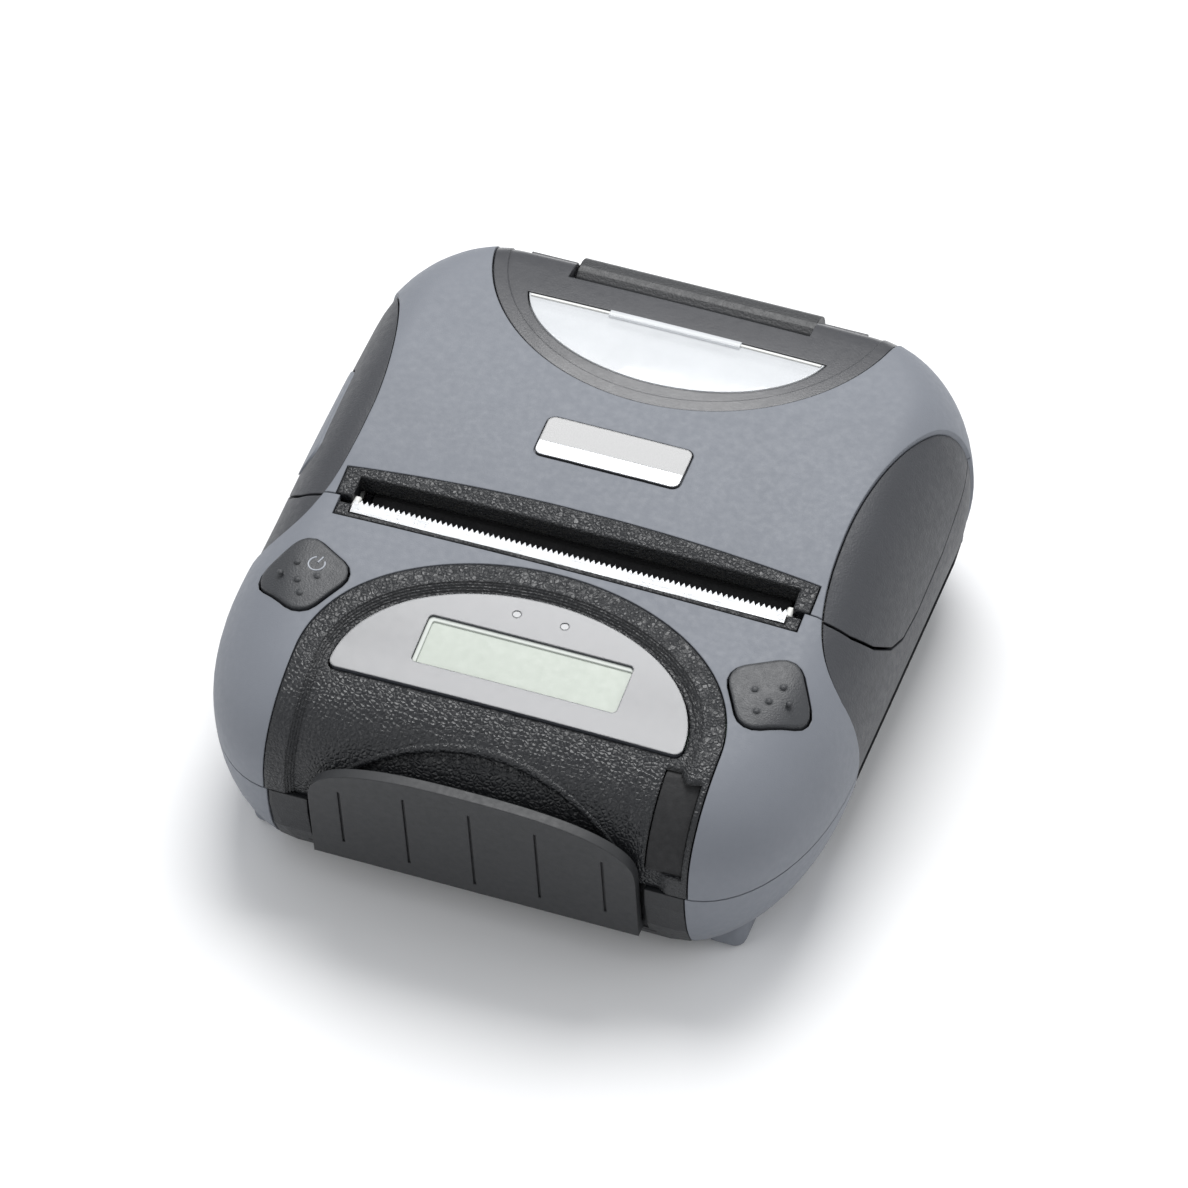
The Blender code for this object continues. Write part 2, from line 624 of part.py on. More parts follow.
def body_solid(name, step=0.0, cutter=False):
    """The closed body, moved inwards all over by a step."""
    floor_z = CASE_UNDERSIDE_Z + step
    rings = []
    for share in CAP_SHARES[::-1]:
        rings.append([(x * share, y * share, floor_z) for x, y in body_ring(90.0 * DEG, step, False)])
    for index in range(ROLL_STEPS, 0, -1):
        angle = index / ROLL_STEPS * 90.0 * DEG
        z = WIDEST_Z - (WIDEST_Z - floor_z) * math.sin(angle)
        rings.append([(x, y, z) for x, y in body_ring(angle, step, False)])
    for index in range(ROLL_STEPS + 1):
        angle = index / ROLL_STEPS * 90.0 * DEG
        rise = math.sin(angle)
        ring = body_ring(angle, step, True)
        rings.append([(x, y, WIDEST_Z + (top_height(x, y, step) - WIDEST_Z) * rise) for x, y in ring])
    for share in CAP_SHARES:
        ring = [(x * share, y * share) for x, y in body_ring(90.0 * DEG, step, True)]
        rings.append([(x, y, top_height(x, y, step)) for x, y in ring])
    bm = bmesh.new()
    loops = [[bm.verts.new(place) for place in ring] for ring in rings]
    for lower, higher in zip(loops, loops[1:]):
        for index in range(len(lower)):
            after = (index + 1) % len(lower)
            bm.faces.new((lower[index], lower[after], higher[after], higher[index]))
    for loop, height in ((loops[0], floor_z), (loops[-1], top_height(0.0, 0.0, step))):
        hub = bm.verts.new((0.0, 0.0, height))
        for index in range(len(loop)):
            bm.faces.new((loop[index], loop[(index + 1) % len(loop)], hub))
    bmesh.ops.triangulate(bm, faces=bm.faces[:])
    return mesh_object(name, bm, cutter)


def skin(name, outer_step, inner_step):
    """A hollow layer of the body between two steps."""
    outer = body_solid(name, outer_step)
    return cut(outer, body_solid(name + "_inside", inner_step, cutter=True))


def half_ellipse(centre_y, half_width, length, towards_front, steps=ARC_STEPS):
    """Points of half an ellipse in plan, from its right end to its left end."""
    sign = -1.0 if towards_front else 1.0
    points = []
    for index in range(steps + 1):
        angle = index / steps * 180.0 * DEG
        points.append((half_width * math.cos(angle), centre_y + sign * length * math.sin(angle)))
    return points


def arch_outline(grow):
    """The front panel in plan: half an ellipse behind, straight sides to past the front."""
    arc = half_ellipse(ARCH_CENTRE_Y, ARCH_HALF_WIDTH + grow, ARCH_LENGTH + grow, False)
    corner = ARCH_HALF_WIDTH + grow
    return arc + [(-corner, FRONT_Y - OVERRUN), (corner, FRONT_Y - OVERRUN)]


def grip_outline(side, grow):
    """One side grip in plan, out past the body's side."""
    points = []
    outer = HALF_WIDTH + OVERRUN
    for index in range(ARC_STEPS + 1):
        share = index / ARC_STEPS * 2 - 1
        reach = GRIP_REAR_REACH if share > 0 else GRIP_FRONT_REACH
        power = GRIP_REAR_POWER if share > 0 else GRIP_FRONT_POWER
        depth = (1 - abs(share) ** power) ** (1 / power) * (GRIP_DEPTH + grow)
        y = GRIP_CENTRE_Y + share * (reach + grow)
        points.append((side * (GRIP_CENTRE_X - depth), y))
    points.append((side * outer, points[-1][1]))
    points.append((side * outer, points[0][1]))
    return points


def grip_region(side, grow, low=0.0, high=2 * BLADE_Z):
    return prism("grip_region", grip_outline(side, grow), "Z", low, high, cutter=True)


def lid_side_outline(shift):
    """The lid's share of the body from the side, its split curve moved forwards and down by a shift."""
    points = [(BLADE_Y + a - shift, BLADE_Z + b - shift) for a, b in LID_SPLIT_POINTS]
    last_z = points[-1][1]
    top = points[0][1] + shift
    return [(points[0][0], top)] + points[1:] + [(REAR_Y + 2 * OVERRUN, last_z), (REAR_Y + 2 * OVERRUN, top)]


def lid_region(shift):
    outer = HALF_WIDTH + OVERRUN
    return prism("lid_region", lid_side_outline(shift), "X", -outer, outer, cutter=True)


def lip_outline(grow):
    """The lip round the rear of the paper slot in plan, thickest in the middle."""
    points = [(LIP_HALF_WIDTH + grow, BLADE_Y - OVERRUN)]
    for index in range(ARC_STEPS + 1):
        share = 1 - index / ARC_STEPS * 2
        crown = LIP_END_REACH + (LIP_CROWN_REACH - LIP_END_REACH) * (1 - share**2)
        points.append(((LIP_HALF_WIDTH + grow) * share, SLOT_REAR_Y + crown + grow))
    points.append((-LIP_HALF_WIDTH - grow, BLADE_Y - OVERRUN))
    return points


def rounded_square(side_length, corner, turn, x, y, grow):
    """A square with round corners in plan, turned about its middle."""
    half = side_length / 2 + grow
    radius = corner + grow
    points = []
    for quarter in range(4):
        for step in range(5):
            angle = (quarter + step / 4) * 90.0 * DEG
            centre = (quarter + 0.5) * 90.0 * DEG
            diagonal = (half - radius) * math.sqrt(2.0)
            px = diagonal * math.cos(centre) + radius * math.cos(angle)
            py = diagonal * math.sin(centre) + radius * math.sin(angle)
            points.append((x + px * math.cos(turn) - py * math.sin(turn), y + px * math.sin(turn) + py * math.cos(turn)))
    return points


def button_region(side, grow, low, high, name="button_region", cutter=True):
    outline = rounded_square(BUTTON_SIDE, BUTTON_CORNER, side * BUTTON_TURN, side * BUTTON_X, BUTTON_Y, grow)
    return prism(name, outline, "Z", low, high, cutter=cutter)


def gear_outline(teeth, y, z, turn, play):
    """A spur gear's outline with straight-flanked teeth, in Y and Z."""
    pitch_radius = GEAR_MODULE * teeth / 2
    tip = pitch_radius + GEAR_MODULE - play
    root = pitch_radius - GEAR_MODULE * 1.25
    tooth = 360.0 * DEG / teeth
    shape_shares = ((-0.30, root), (-0.12, tip), (0.12, tip), (0.30, root))
    points = []
    for index in range(teeth):
        for share, radius in shape_shares:
            angle = turn + (index + share) * tooth
            points.append((y + radius * math.cos(angle), z + radius * math.sin(angle)))
    return points


def slanted(name, low, high, turn, pivot, cutter=False):
    """A box turned about an X line through a pivot."""
    thing = box(name, low, high, cutter)
    spin = Matrix.Translation(pivot) @ Matrix.Rotation(turn, 4, "X") @ Matrix.Translation(-Vector(pivot))
    thing.data.transform(spin)
    return thing


def front_cover():
    thing = skin("front_cover", 0.0, WALL)
    far = HALF_WIDTH + OVERRUN
    room = box("room", (-far, FRONT_Y - OVERRUN, FRONT_SEAM_Z + SEAM / 2), (far, GRIP_CENTRE_Y, 2 * BLADE_Z), cutter=True)
    keep(thing, room)
    cut(thing, lid_region(SEAM))
    cut(thing, prism("arch", arch_outline(SEAM), "Z", 0.0, 2 * BLADE_Z, cutter=True))
    frame_x = SLOT_FRAME_HALF_WIDTH + SEAM
    low = (-frame_x, SLOT_FRAME_FRONT_Y - SEAM, WIDEST_Z)
    cut(thing, box("frame_room", low, (frame_x, REAR_Y, 2 * BLADE_Z), cutter=True))
    for side in (-1, 1):
        cut(thing, grip_region(side, SEAM))
        cut(thing, button_region(side, BUTTON_GAP, WIDEST_Z, 2 * BLADE_Z))
        top = top_height(side * PILLAR_X, PILLAR_Y) - WALL / 2
        bottom = CONTROL_BOARD_Z + BOARD_THICKNESS + GAP
        join(thing, post("pillar", PILLAR_RADIUS, side * PILLAR_X, PILLAR_Y, bottom, top, cutter=True))
    return finish_piece(thing, GREY_SOFT)


def lens_outline(grow):
    """A segment of an ellipse with its chord to the front."""
    points = half_ellipse(LENS_CHORD_Y, LENS_HALF_WIDTH + grow, LENS_LENGTH + grow, False)
    corner = LENS_CORNER
    first = (LENS_HALF_WIDTH + grow - corner, LENS_CHORD_Y - corner - grow)
    last = (-first[0], first[1])
    return points + [last, first]


def port_box(name, grow, y_low, y_high):
    low = (PORT_INNER_X - grow, y_low, PORT_BOTTOM_Z - grow)
    return box(name, low, (PORT_OUTER_X + grow, y_high, PORT_TOP_Z + grow), cutter=True)


def port_pivot():
    """Middle of the flap's knuckle, just inside the panel's recessed surface."""
    return FRONT_Y + PANEL_RECESS + PORT_KNUCKLE_RADIUS, PORT_BOTTOM_Z


def swipe_arch_outline(grow):
    points = []
    for index in range(ARC_STEPS + 1):
        angle = index / ARC_STEPS * 180.0 * DEG
        x = (SWIPE_ARCH_HALF_WIDTH + grow) * math.cos(angle)
        rise = SWIPE_TOP_CENTRE_Z - SWIPE_ARCH_BASE_Z + grow
        points.append((x, SWIPE_ARCH_BASE_Z + rise * math.sin(angle)))
    low_z = SWIPE_ARCH_BASE_Z - OVERRUN
    return points + [(-SWIPE_ARCH_HALF_WIDTH - grow, low_z), (SWIPE_ARCH_HALF_WIDTH + grow, low_z)]


def layer(name, outer_step, inner_step):
    """A cutter that takes the body's surface down to a step."""
    return cut(body_solid(name, outer_step, cutter=True), body_solid(name + "_core", inner_step, cutter=True))


def front_panel():
    thing = skin("front_panel", 0.0, PANEL_WALL)
    keep(thing, prism("arch", arch_outline(0.0), "Z", FRONT_SEAM_Z + SEAM / 2, 2 * BLADE_Z, cutter=True))
    sunk = layer("sunk", -PANEL_RECESS, PANEL_RECESS)
    keep(sunk, prism("inner_arch", arch_outline(-ARCH_BAND), "Z", 0.0, 2 * BLADE_Z, cutter=True))
    cut(thing, sunk)
    swipe = layer("swipe", -PANEL_RECESS, PANEL_RECESS + SWIPE_RECESS)
    keep(swipe, prism("swipe_arch", swipe_arch_outline(0.0), "Y", FRONT_Y - OVERRUN, ARCH_CENTRE_Y, cutter=True))
    cut(thing, swipe)
    cut(thing, prism("lens_room", lens_outline(SEAM), "Z", WIDEST_Z, 2 * BLADE_Z, cutter=True))
    cut(thing, port_box("port_room", SEAM, FRONT_Y - OVERRUN, ARCH_CENTRE_Y))
    pivot_y, pivot_z = port_pivot()
    reach = PORT_KNUCKLE_RADIUS + PANEL_RECESS / 2
    cut(thing, axle("knuckle_room", reach, PORT_INNER_X - SEAM, PORT_OUTER_X + SEAM, pivot_y, pivot_z, cutter=True))
    return finish_piece(thing, BLACK_GRAIN)


def display_lens():
    thing = skin("display_lens", PANEL_RECESS / 2, PANEL_RECESS / 2 + LENS_THICKNESS)
    keep(thing, prism("lens_edge", lens_outline(0.0), "Z", WIDEST_Z, 2 * BLADE_Z, cutter=True))
    return finish_piece(thing, LENS_DARK)


def lens_underside(y):
    return top_height(0.0, y) - PANEL_RECESS / 2 - LENS_THICKNESS - GAP - CROWN_SIDE_DROP


def display_module():
    base_z = CONTROL_BOARD_Z + BOARD_THICKNESS + GAP
    front = LCD_FRONT_Y - LCD_BORDER
    rear = LCD_REAR_Y + LCD_BORDER
    half = LCD_HALF_WIDTH + LCD_BORDER
    outline = [(front, base_z), (rear, base_z), (rear, lens_underside(rear)), (front, lens_underside(front))]
    return finish_piece(prism("display_module", outline, "X", -half, half), SCREEN)


def lamps():
    names = ("power_lamp", "status_lamp")
    for name, x in zip(names, LAMP_XS):
        low = CONTROL_BOARD_Z + BOARD_THICKNESS + GAP
        finish_piece(post(name, LAMP_RADIUS, x, LAMP_Y, low, lens_underside(LAMP_Y)), GEAR_WHITE)


def control_board():
    low = (-CONTROL_BOARD_HALF_WIDTH, CONTROL_BOARD_FRONT_Y, CONTROL_BOARD_Z)
    high = (CONTROL_BOARD_HALF_WIDTH, CONTROL_BOARD_REAR_Y, CONTROL_BOARD_Z + BOARD_THICKNESS)
    return finish_piece(box("control_board", low, high), BOARD_GREEN)


def buttons_and_switches():
    for side, label in ((-1, "power"), (1, "feed")):
        x = side * BUTTON_X
        top = top_height(x, BUTTON_Y) + BUTTON_PROUD
        bottom = top - BUTTON_SKIRT
        button = button_region(side, 0.0, bottom, top, name=label + "_button", cutter=False)
        bm = bmesh.new()
        bm.from_mesh(button.data)
        rim = [e for e in bm.edges if all(v.co.z > top - GAP for v in e.verts)]
        bmesh.ops.bevel(bm, geom=rim, offset=BUTTON_PROUD, segments=2, affect="EDGES", profile=0.5)
        bm.to_mesh(button.data)
        bm.free()
        finish_piece(button, CHARCOAL)
        half = SWITCH_SIDE / 2
        low = (x - half, BUTTON_Y - half, CONTROL_BOARD_Z + BOARD_THICKNESS + GAP)
        switch_top = bottom - BUTTON_TRAVEL - GAP
        finish_piece(box(label + "_switch", low, (x + half, BUTTON_Y + half, switch_top)), CHARCOAL)


def slot_frame():
    thing = body_solid("slot_frame", TOUCH)
    low = (-SLOT_FRAME_HALF_WIDTH, SLOT_FRAME_FRONT_Y, BLADE_Z - FRAME_DEPTH)
    keep(thing, box("frame_block", low, (SLOT_FRAME_HALF_WIDTH, SLOT_FRONT_Y, 2 * BLADE_Z), cutter=True))
    blade_room_x = BLADE_HALF_WIDTH + SEAM
    floor = BLADE_Z - BLADE_THICKNESS * 2 - SEAM * 2
    low = (-blade_room_x, SLOT_FRONT_Y - BLADE_STRIP_DEPTH, floor)
    cut(thing, box("blade_room", low, (blade_room_x, REAR_Y, 2 * BLADE_Z), cutter=True))
    return finish_piece(thing, CHARCOAL)


def tear_blade():
    """A strip with sawteeth along its rear edge, tilted up to the rear."""
    count = int(round(2 * BLADE_HALF_WIDTH / BLADE_TOOTH_PITCH))
    pitch = 2 * BLADE_HALF_WIDTH / count
    outline = [(BLADE_HALF_WIDTH, -BLADE_STRIP_DEPTH), (BLADE_HALF_WIDTH, 0.0)]
    for index in range(count):
        x = BLADE_HALF_WIDTH - index * pitch
        outline.append((x - pitch / 2, BLADE_TOOTH_HEIGHT))
        outline.append((x - pitch, 0.0))
    outline.append((-BLADE_HALF_WIDTH, -BLADE_STRIP_DEPTH))
    thing = prism("tear_blade", outline, "Z", 0.0, BLADE_THICKNESS)
    spin = Matrix.Rotation(BLADE_TILT, 4, "X")
    lift = BLADE_Z - BLADE_THICKNESS * 2 + BLADE_STRIP_DEPTH * math.sin(BLADE_TILT) - SEAM
    thing.data.transform(Matrix.Translation((0.0, SLOT_FRONT_Y + SEAM, lift)) @ spin)
    return finish_piece(thing, STEEL)


def rear_panel_outline(grow):
    arc = half_ellipse(REAR_PANEL_CENTRE_Y, REAR_PANEL_HALF_WIDTH + grow, REAR_PANEL_LENGTH + grow, True)
    edge = REAR_PANEL_HALF_WIDTH + grow
    return arc + [(-edge, REAR_Y + OVERRUN), (edge, REAR_Y + OVERRUN)]


def window_outline(grow):
    """The part of an ellipse in front of the window's rear chord."""
    points = []
    chord = WINDOW_CHORD_Y + grow
    for index in range(ARC_STEPS + 1):
        angle = index / ARC_STEPS * 180.0 * DEG
        y = WINDOW_CENTRE_Y - (WINDOW_LENGTH + grow) * math.sin(angle)
        if y < chord:
            points.append(((WINDOW_HALF_WIDTH + grow) * math.cos(angle), y))
    reach = (chord - WINDOW_CENTRE_Y) / (WINDOW_LENGTH + grow)
    x = (WINDOW_HALF_WIDTH + grow) * math.sqrt(1 - reach**2)
    return [(x, chord)] + points + [(-x, chord)]


def lid_cover():
    thing = skin("lid_cover", 0.0, WALL)
    keep(thing, lid_region(0.0))
    cut(thing, prism("panel_room", rear_panel_outline(SEAM), "Z", 0.0, 2 * BLADE_Z, cutter=True))
    cut(thing, prism("lip_room", lip_outline(SEAM), "Z", WIDEST_Z, 2 * BLADE_Z, cutter=True))
    for side in (-1, 1):
        cut(thing, grip_region(side, SEAM))
    floor = top_height(0.0, PLATE_Y) - PLATE_SINK
    cut(thing, name_plate_solid("plate_room", SEAM, floor, 2 * BLADE_Z, cutter=True))
    return finish_piece(thing, GREY_SOFT)


def name_plate_solid(name, grow, low, high, cutter=False):
    half_x = PLATE_HALF_LENGTH + grow
    half_y = PLATE_HALF_HEIGHT + grow
    radius = PLATE_CORNER + grow
    points = []
    for quarter, (sx, sy) in enumerate(((1, 1), (-1, 1), (-1, -1), (1, -1))):
        for step in range(4):
            angle = (quarter + step / 3) * 90.0 * DEG
            x = sx * (half_x - radius) + radius * math.cos(angle)
            y = PLATE_Y + sy * (half_y - radius) + radius * math.sin(angle)
            points.append((x, y))
    return prism(name, points, "Z", low, high, cutter=cutter)


def name_plate():
    top = top_height(0.0, PLATE_Y)
    return finish_piece(name_plate_solid("name_plate", 0.0, top - PLATE_SINK + GAP, top + PLATE_PROUD), CHARCOAL)


def lid_lip():
    thing = skin("lid_lip", 0.0, WALL * 2)
    keep(thing, lid_region(0.0))
    keep(thing, prism("lip", lip_outline(0.0), "Z", WIDEST_Z, 2 * BLADE_Z, cutter=True))
    low = (-SLOT_HALF_WIDTH, BLADE_Y - OVERRUN, WIDEST_Z)
    cut(thing, box("slot_room", low, (SLOT_HALF_WIDTH, SLOT_REAR_Y, 2 * BLADE_Z), cutter=True))
    return finish_piece(thing, BLACK_GRAIN)


def hinge_knuckle(side):
    inner = HINGE_TOWER_HALF_WIDTH + GAP * 2
    ends = sorted((side * inner, side * (inner + HINGE_KNUCKLE_WIDTH)))
    thing = axle("knuckle", HINGE_KNUCKLE_RADIUS, ends[0], ends[1], HINGE_Y, HINGE_Z, cutter=True)
    low = (ends[0], HINGE_Y - HINGE_KNUCKLE_RADIUS, HINGE_Z)
    top = top_height(0.0, HINGE_Y) - WALL - CROWN_SIDE_DROP
    join(thing, box("web", low, (ends[1], HINGE_Y + HINGE_KNUCKLE_RADIUS / 4, top), cutter=True))
    return thing


def platen_bracket(side):
    ends = sorted((side * BRACKET_INNER_X, side * (BRACKET_INNER_X + BRACKET_THICKNESS)))
    thing = axle("bracket_eye", BRACKET_RADIUS, ends[0], ends[1], PLATEN_Y, PLATEN_Z, cutter=True)
    low = (ends[0], PLATEN_Y, PLATEN_Z - BRACKET_RADIUS / 2)
    top = BLADE_Z - WALL
    join(thing, box("bracket_plate", low, (ends[1], LATCH_Y + LATCH_SHAFT_RADIUS * 2, top), cutter=True))
    return thing


def lid_frame():
    """The lid's dark inner frame: rear panel, liner, hinge knuckles and the brackets of the platen."""
    inner = CASE_INNER_STEP + LINER_WALL
    thing = skin("lid_frame", SKIN_STEP / 2, inner)
    keep(thing, lid_region(0.0))
    keep(thing, prism("panel", rear_panel_outline(0.0), "Z", 0.0, 2 * BLADE_Z, cutter=True))
    liner = skin("liner", CASE_INNER_STEP, inner)
    front = SLOT_REAR_Y + LIP_CROWN_REACH + GAP
    low = (-LINER_HALF_WIDTH, front, BLADE_Z - UPPER_ROLL_REAR)
    keep(liner, box("liner_room", low, (LINER_HALF_WIDTH, REAR_PANEL_CENTRE_Y - UPPER_ROLL_REAR, 2 * BLADE_Z), cutter=True))
    join(thing, liner)
    for side in (-1, 1):
        join(thing, platen_bracket(side))
    notch_x = HINGE_TOWER_HALF_WIDTH + GAP
    low = (-notch_x, NOTCH_FRONT_Y, 0.0)
    cut(thing, box("notch", low, (notch_x, REAR_Y + OVERRUN, 2 * BLADE_Z), cutter=True))
    for side in (-1, 1):
        join(thing, hinge_knuckle(side))
    cut(thing, prism("window_room", window_outline(0.0), "Z", WIDEST_Z, 2 * BLADE_Z, cutter=True))
    far = HALF_WIDTH
    pin_room = HINGE_PIN_RADIUS + GAP / 2
    cut(thing, axle("pin_room", pin_room, -far, far, HINGE_Y, HINGE_Z, cutter=True))
    shaft_room = PLATEN_SHAFT_RADIUS + GAP / 2
    cut(thing, axle("shaft_room", shaft_room, -far, far, PLATEN_Y, PLATEN_Z, cutter=True))
    latch_room = LATCH_SHAFT_RADIUS + GAP / 2
    cut(thing, axle("latch_room", latch_room, -far, far, LATCH_Y, LATCH_Z, cutter=True))
    return finish_piece(thing, LID_DARK)


def lid_window():
    thing = skin("lid_window", SKIN_STEP, SKIN_STEP + WINDOW_LIP)
    keep(thing, prism("window", window_outline(-SEAM), "Z", WIDEST_Z, 2 * BLADE_Z, cutter=True))
    return finish_piece(thing, CLEAR)


def open_button_outline(grow):
    """A long oval with round ends, in Y and Z."""
    radius = OPEN_BUTTON_HALF_HEIGHT + grow
    straight = OPEN_BUTTON_HALF_LENGTH - OPEN_BUTTON_HALF_HEIGHT
    points = []
    for end in (0, 1):
        middle = OPEN_BUTTON_Y + (straight if end == 0 else -straight)
        for step in range(9):
            angle = (end * 2 - 1 + step / 4) * 90.0 * DEG
            points.append((middle + radius * math.cos(angle), OPEN_BUTTON_Z + radius * math.sin(angle)))
    return points


def side_name(side):
    return "left" if side < 0 else "right"


def grips():
    thickness = CASE_INNER_STEP - SEAM
    for side in (-1, 1):
        upper = skin("lid_grip_" + side_name(side), SKIN_STEP, thickness)
        keep(upper, lid_region(0.0))
        keep(upper, grip_region(side, 0.0))
        if side < 0:
            hole = open_button_outline(OPEN_BUTTON_GAP)
            cut(upper, prism("button_hole", hole, "X", -HALF_WIDTH - OVERRUN, 0.0, cutter=True))
        finish_piece(upper, DARK_GRIP)
        lower = skin("base_grip_" + side_name(side), SKIN_STEP, thickness)
        keep(lower, grip_region(side, 0.0, low=GRIP_LOWER_Z))
        cut(lower, lid_region(SEAM * 1.5))
        finish_piece(lower, DARK_GRIP)


def open_button():
    thing = skin("open_button", SKIN_STEP / 2, SKIN_STEP / 2 + OPEN_BUTTON_DEPTH)
    keep(thing, prism("oval", open_button_outline(0.0), "X", -HALF_WIDTH - OVERRUN, 0.0, cutter=True))
    x_high = -LATCH_HOOK_X - LATCH_HOOK_THICKNESS / 2 - GAP - OPEN_BUTTON_TRAVEL
    half = LATCH_HOOK_WIDTH / 2
    low = (-HALF_WIDTH + OPEN_BUTTON_DEPTH * 2, LATCH_Y - half, LATCH_Z - half)
    join(thing, box("plunger", low, (x_high, LATCH_Y + half, LATCH_Z + half), cutter=True))
    return finish_piece(thing, GREY_SOFT)


def latch_shaft():
    end = LATCH_HOOK_X + LATCH_HOOK_THICKNESS / 2
    thing = axle("latch_shaft", LATCH_SHAFT_RADIUS, -end, end, LATCH_Y, LATCH_Z, sides=SMALL_SIDES)
    for side in (-1, 1):
        middle = side * LATCH_HOOK_X
        ends = sorted((middle - LATCH_HOOK_THICKNESS / 2, middle + LATCH_HOOK_THICKNESS / 2))
        half = LATCH_HOOK_WIDTH / 2
        bottom = LATCH_Z - LATCH_HOOK_LENGTH
        outline = [
            (LATCH_Y - half, LATCH_Z + half),
            (LATCH_Y - half, bottom + LATCH_NOSE * 1.5),
            (LATCH_Y - half - LATCH_NOSE, bottom + LATCH_NOSE),
            (LATCH_Y - half, bottom),
            (LATCH_Y + half, bottom),
            (LATCH_Y + half, LATCH_Z + half),
        ]
        join(thing, prism("hook", outline, "X", ends[0], ends[1], cutter=True))
    return finish_piece(thing, STEEL)


def bumper_limits(side, end):
    """Low and high corners of the space of one corner bumper."""
    far = HALF_WIDTH + OVERRUN
    xs = sorted((side * FOOT_INNER_X, side * far))
    if end == "front":
        return (xs[0], FRONT_Y - OVERRUN, -OVERRUN), (xs[1], BUMPER_FRONT_REAR_Y, FRONT_SEAM_Z - SEAM / 2)
    return (xs[0], BUMPER_REAR_FRONT_Y, -OVERRUN), (xs[1], REAR_Y + OVERRUN, BLADE_Z)


def foot_limits(side, end):
    xs = sorted((side * FOOT_INNER_X, side * FOOT_OUTER_X))
    ys = (FOOT_FRONT_Y, FOOT_REAR_Y) if end == "front" else (REAR_FOOT_FRONT_Y, REAR_FOOT_REAR_Y)
    return (xs[0], ys[0], 0.0), (xs[1], ys[1], FOOT_TOP_Z)


def grown(limits, grow):
    low, high = limits
    return [value - grow for value in low], [value + grow for value in high]


def bumpers():
    for end in ("front", "rear"):
        for side in (-1, 1):
            thing = skin(end + "_bumper_" + side_name(side), 0.0, WALL)
            keep(thing, box("bumper_room", *bumper_limits(side, end), cutter=True))
            if end == "rear":
                cut(thing, lid_region(SEAM))
                cut(thing, hinge_sweep(side))
            join(thing, rounded_box("foot", *foot_limits(side, end), FOOT_ROUND, cutter=True))
            cut(thing, grip_region(side, SEAM, low=GRIP_LOWER_Z - SEAM))
            room = BOSS_RADIUS + GAP
            for y in BOSS_YS:
                cut(thing, post("boss_room", room, side * BOSS_X, y, -OVERRUN, WIDEST_Z, cutter=True))
            finish_piece(thing, GREY_SOFT)


def hinge_sweep(side):
    """The round space that the lid's rear edge passes through as it opens."""
    ends = sorted((side * (HINGE_TOWER_HALF_WIDTH + GAP), side * (HALF_WIDTH + OVERRUN)))
    return axle("sweep", HINGE_SWEEP_RADIUS, ends[0], ends[1], HINGE_Y, HINGE_Z, cutter=True)


def hinge_tower():
    rear = HINGE_Y + HINGE_BARREL_RADIUS
    front = HINGE_Y - HINGE_BARREL_RADIUS
    wall = HINGE_Y - HINGE_PIN_RADIUS
    outline = [
        (front, HINGE_Z),
        (wall, HINGE_Z - 2 * HINGE_BARREL_RADIUS),
        (wall, WIDEST_Z - HINGE_BARREL_RADIUS),
        (REAR_Y, WIDEST_Z - HINGE_BARREL_RADIUS),
        (rear, WIDEST_Z + HINGE_BARREL_RADIUS),
        (rear, HINGE_Z),
    ]
    half = HINGE_TOWER_HALF_WIDTH
    tower = prism("tower", outline, "X", -half, half, cutter=True)
    return join(tower, axle("barrel", HINGE_BARREL_RADIUS, -half, half, HINGE_Y, HINGE_Z, cutter=True))


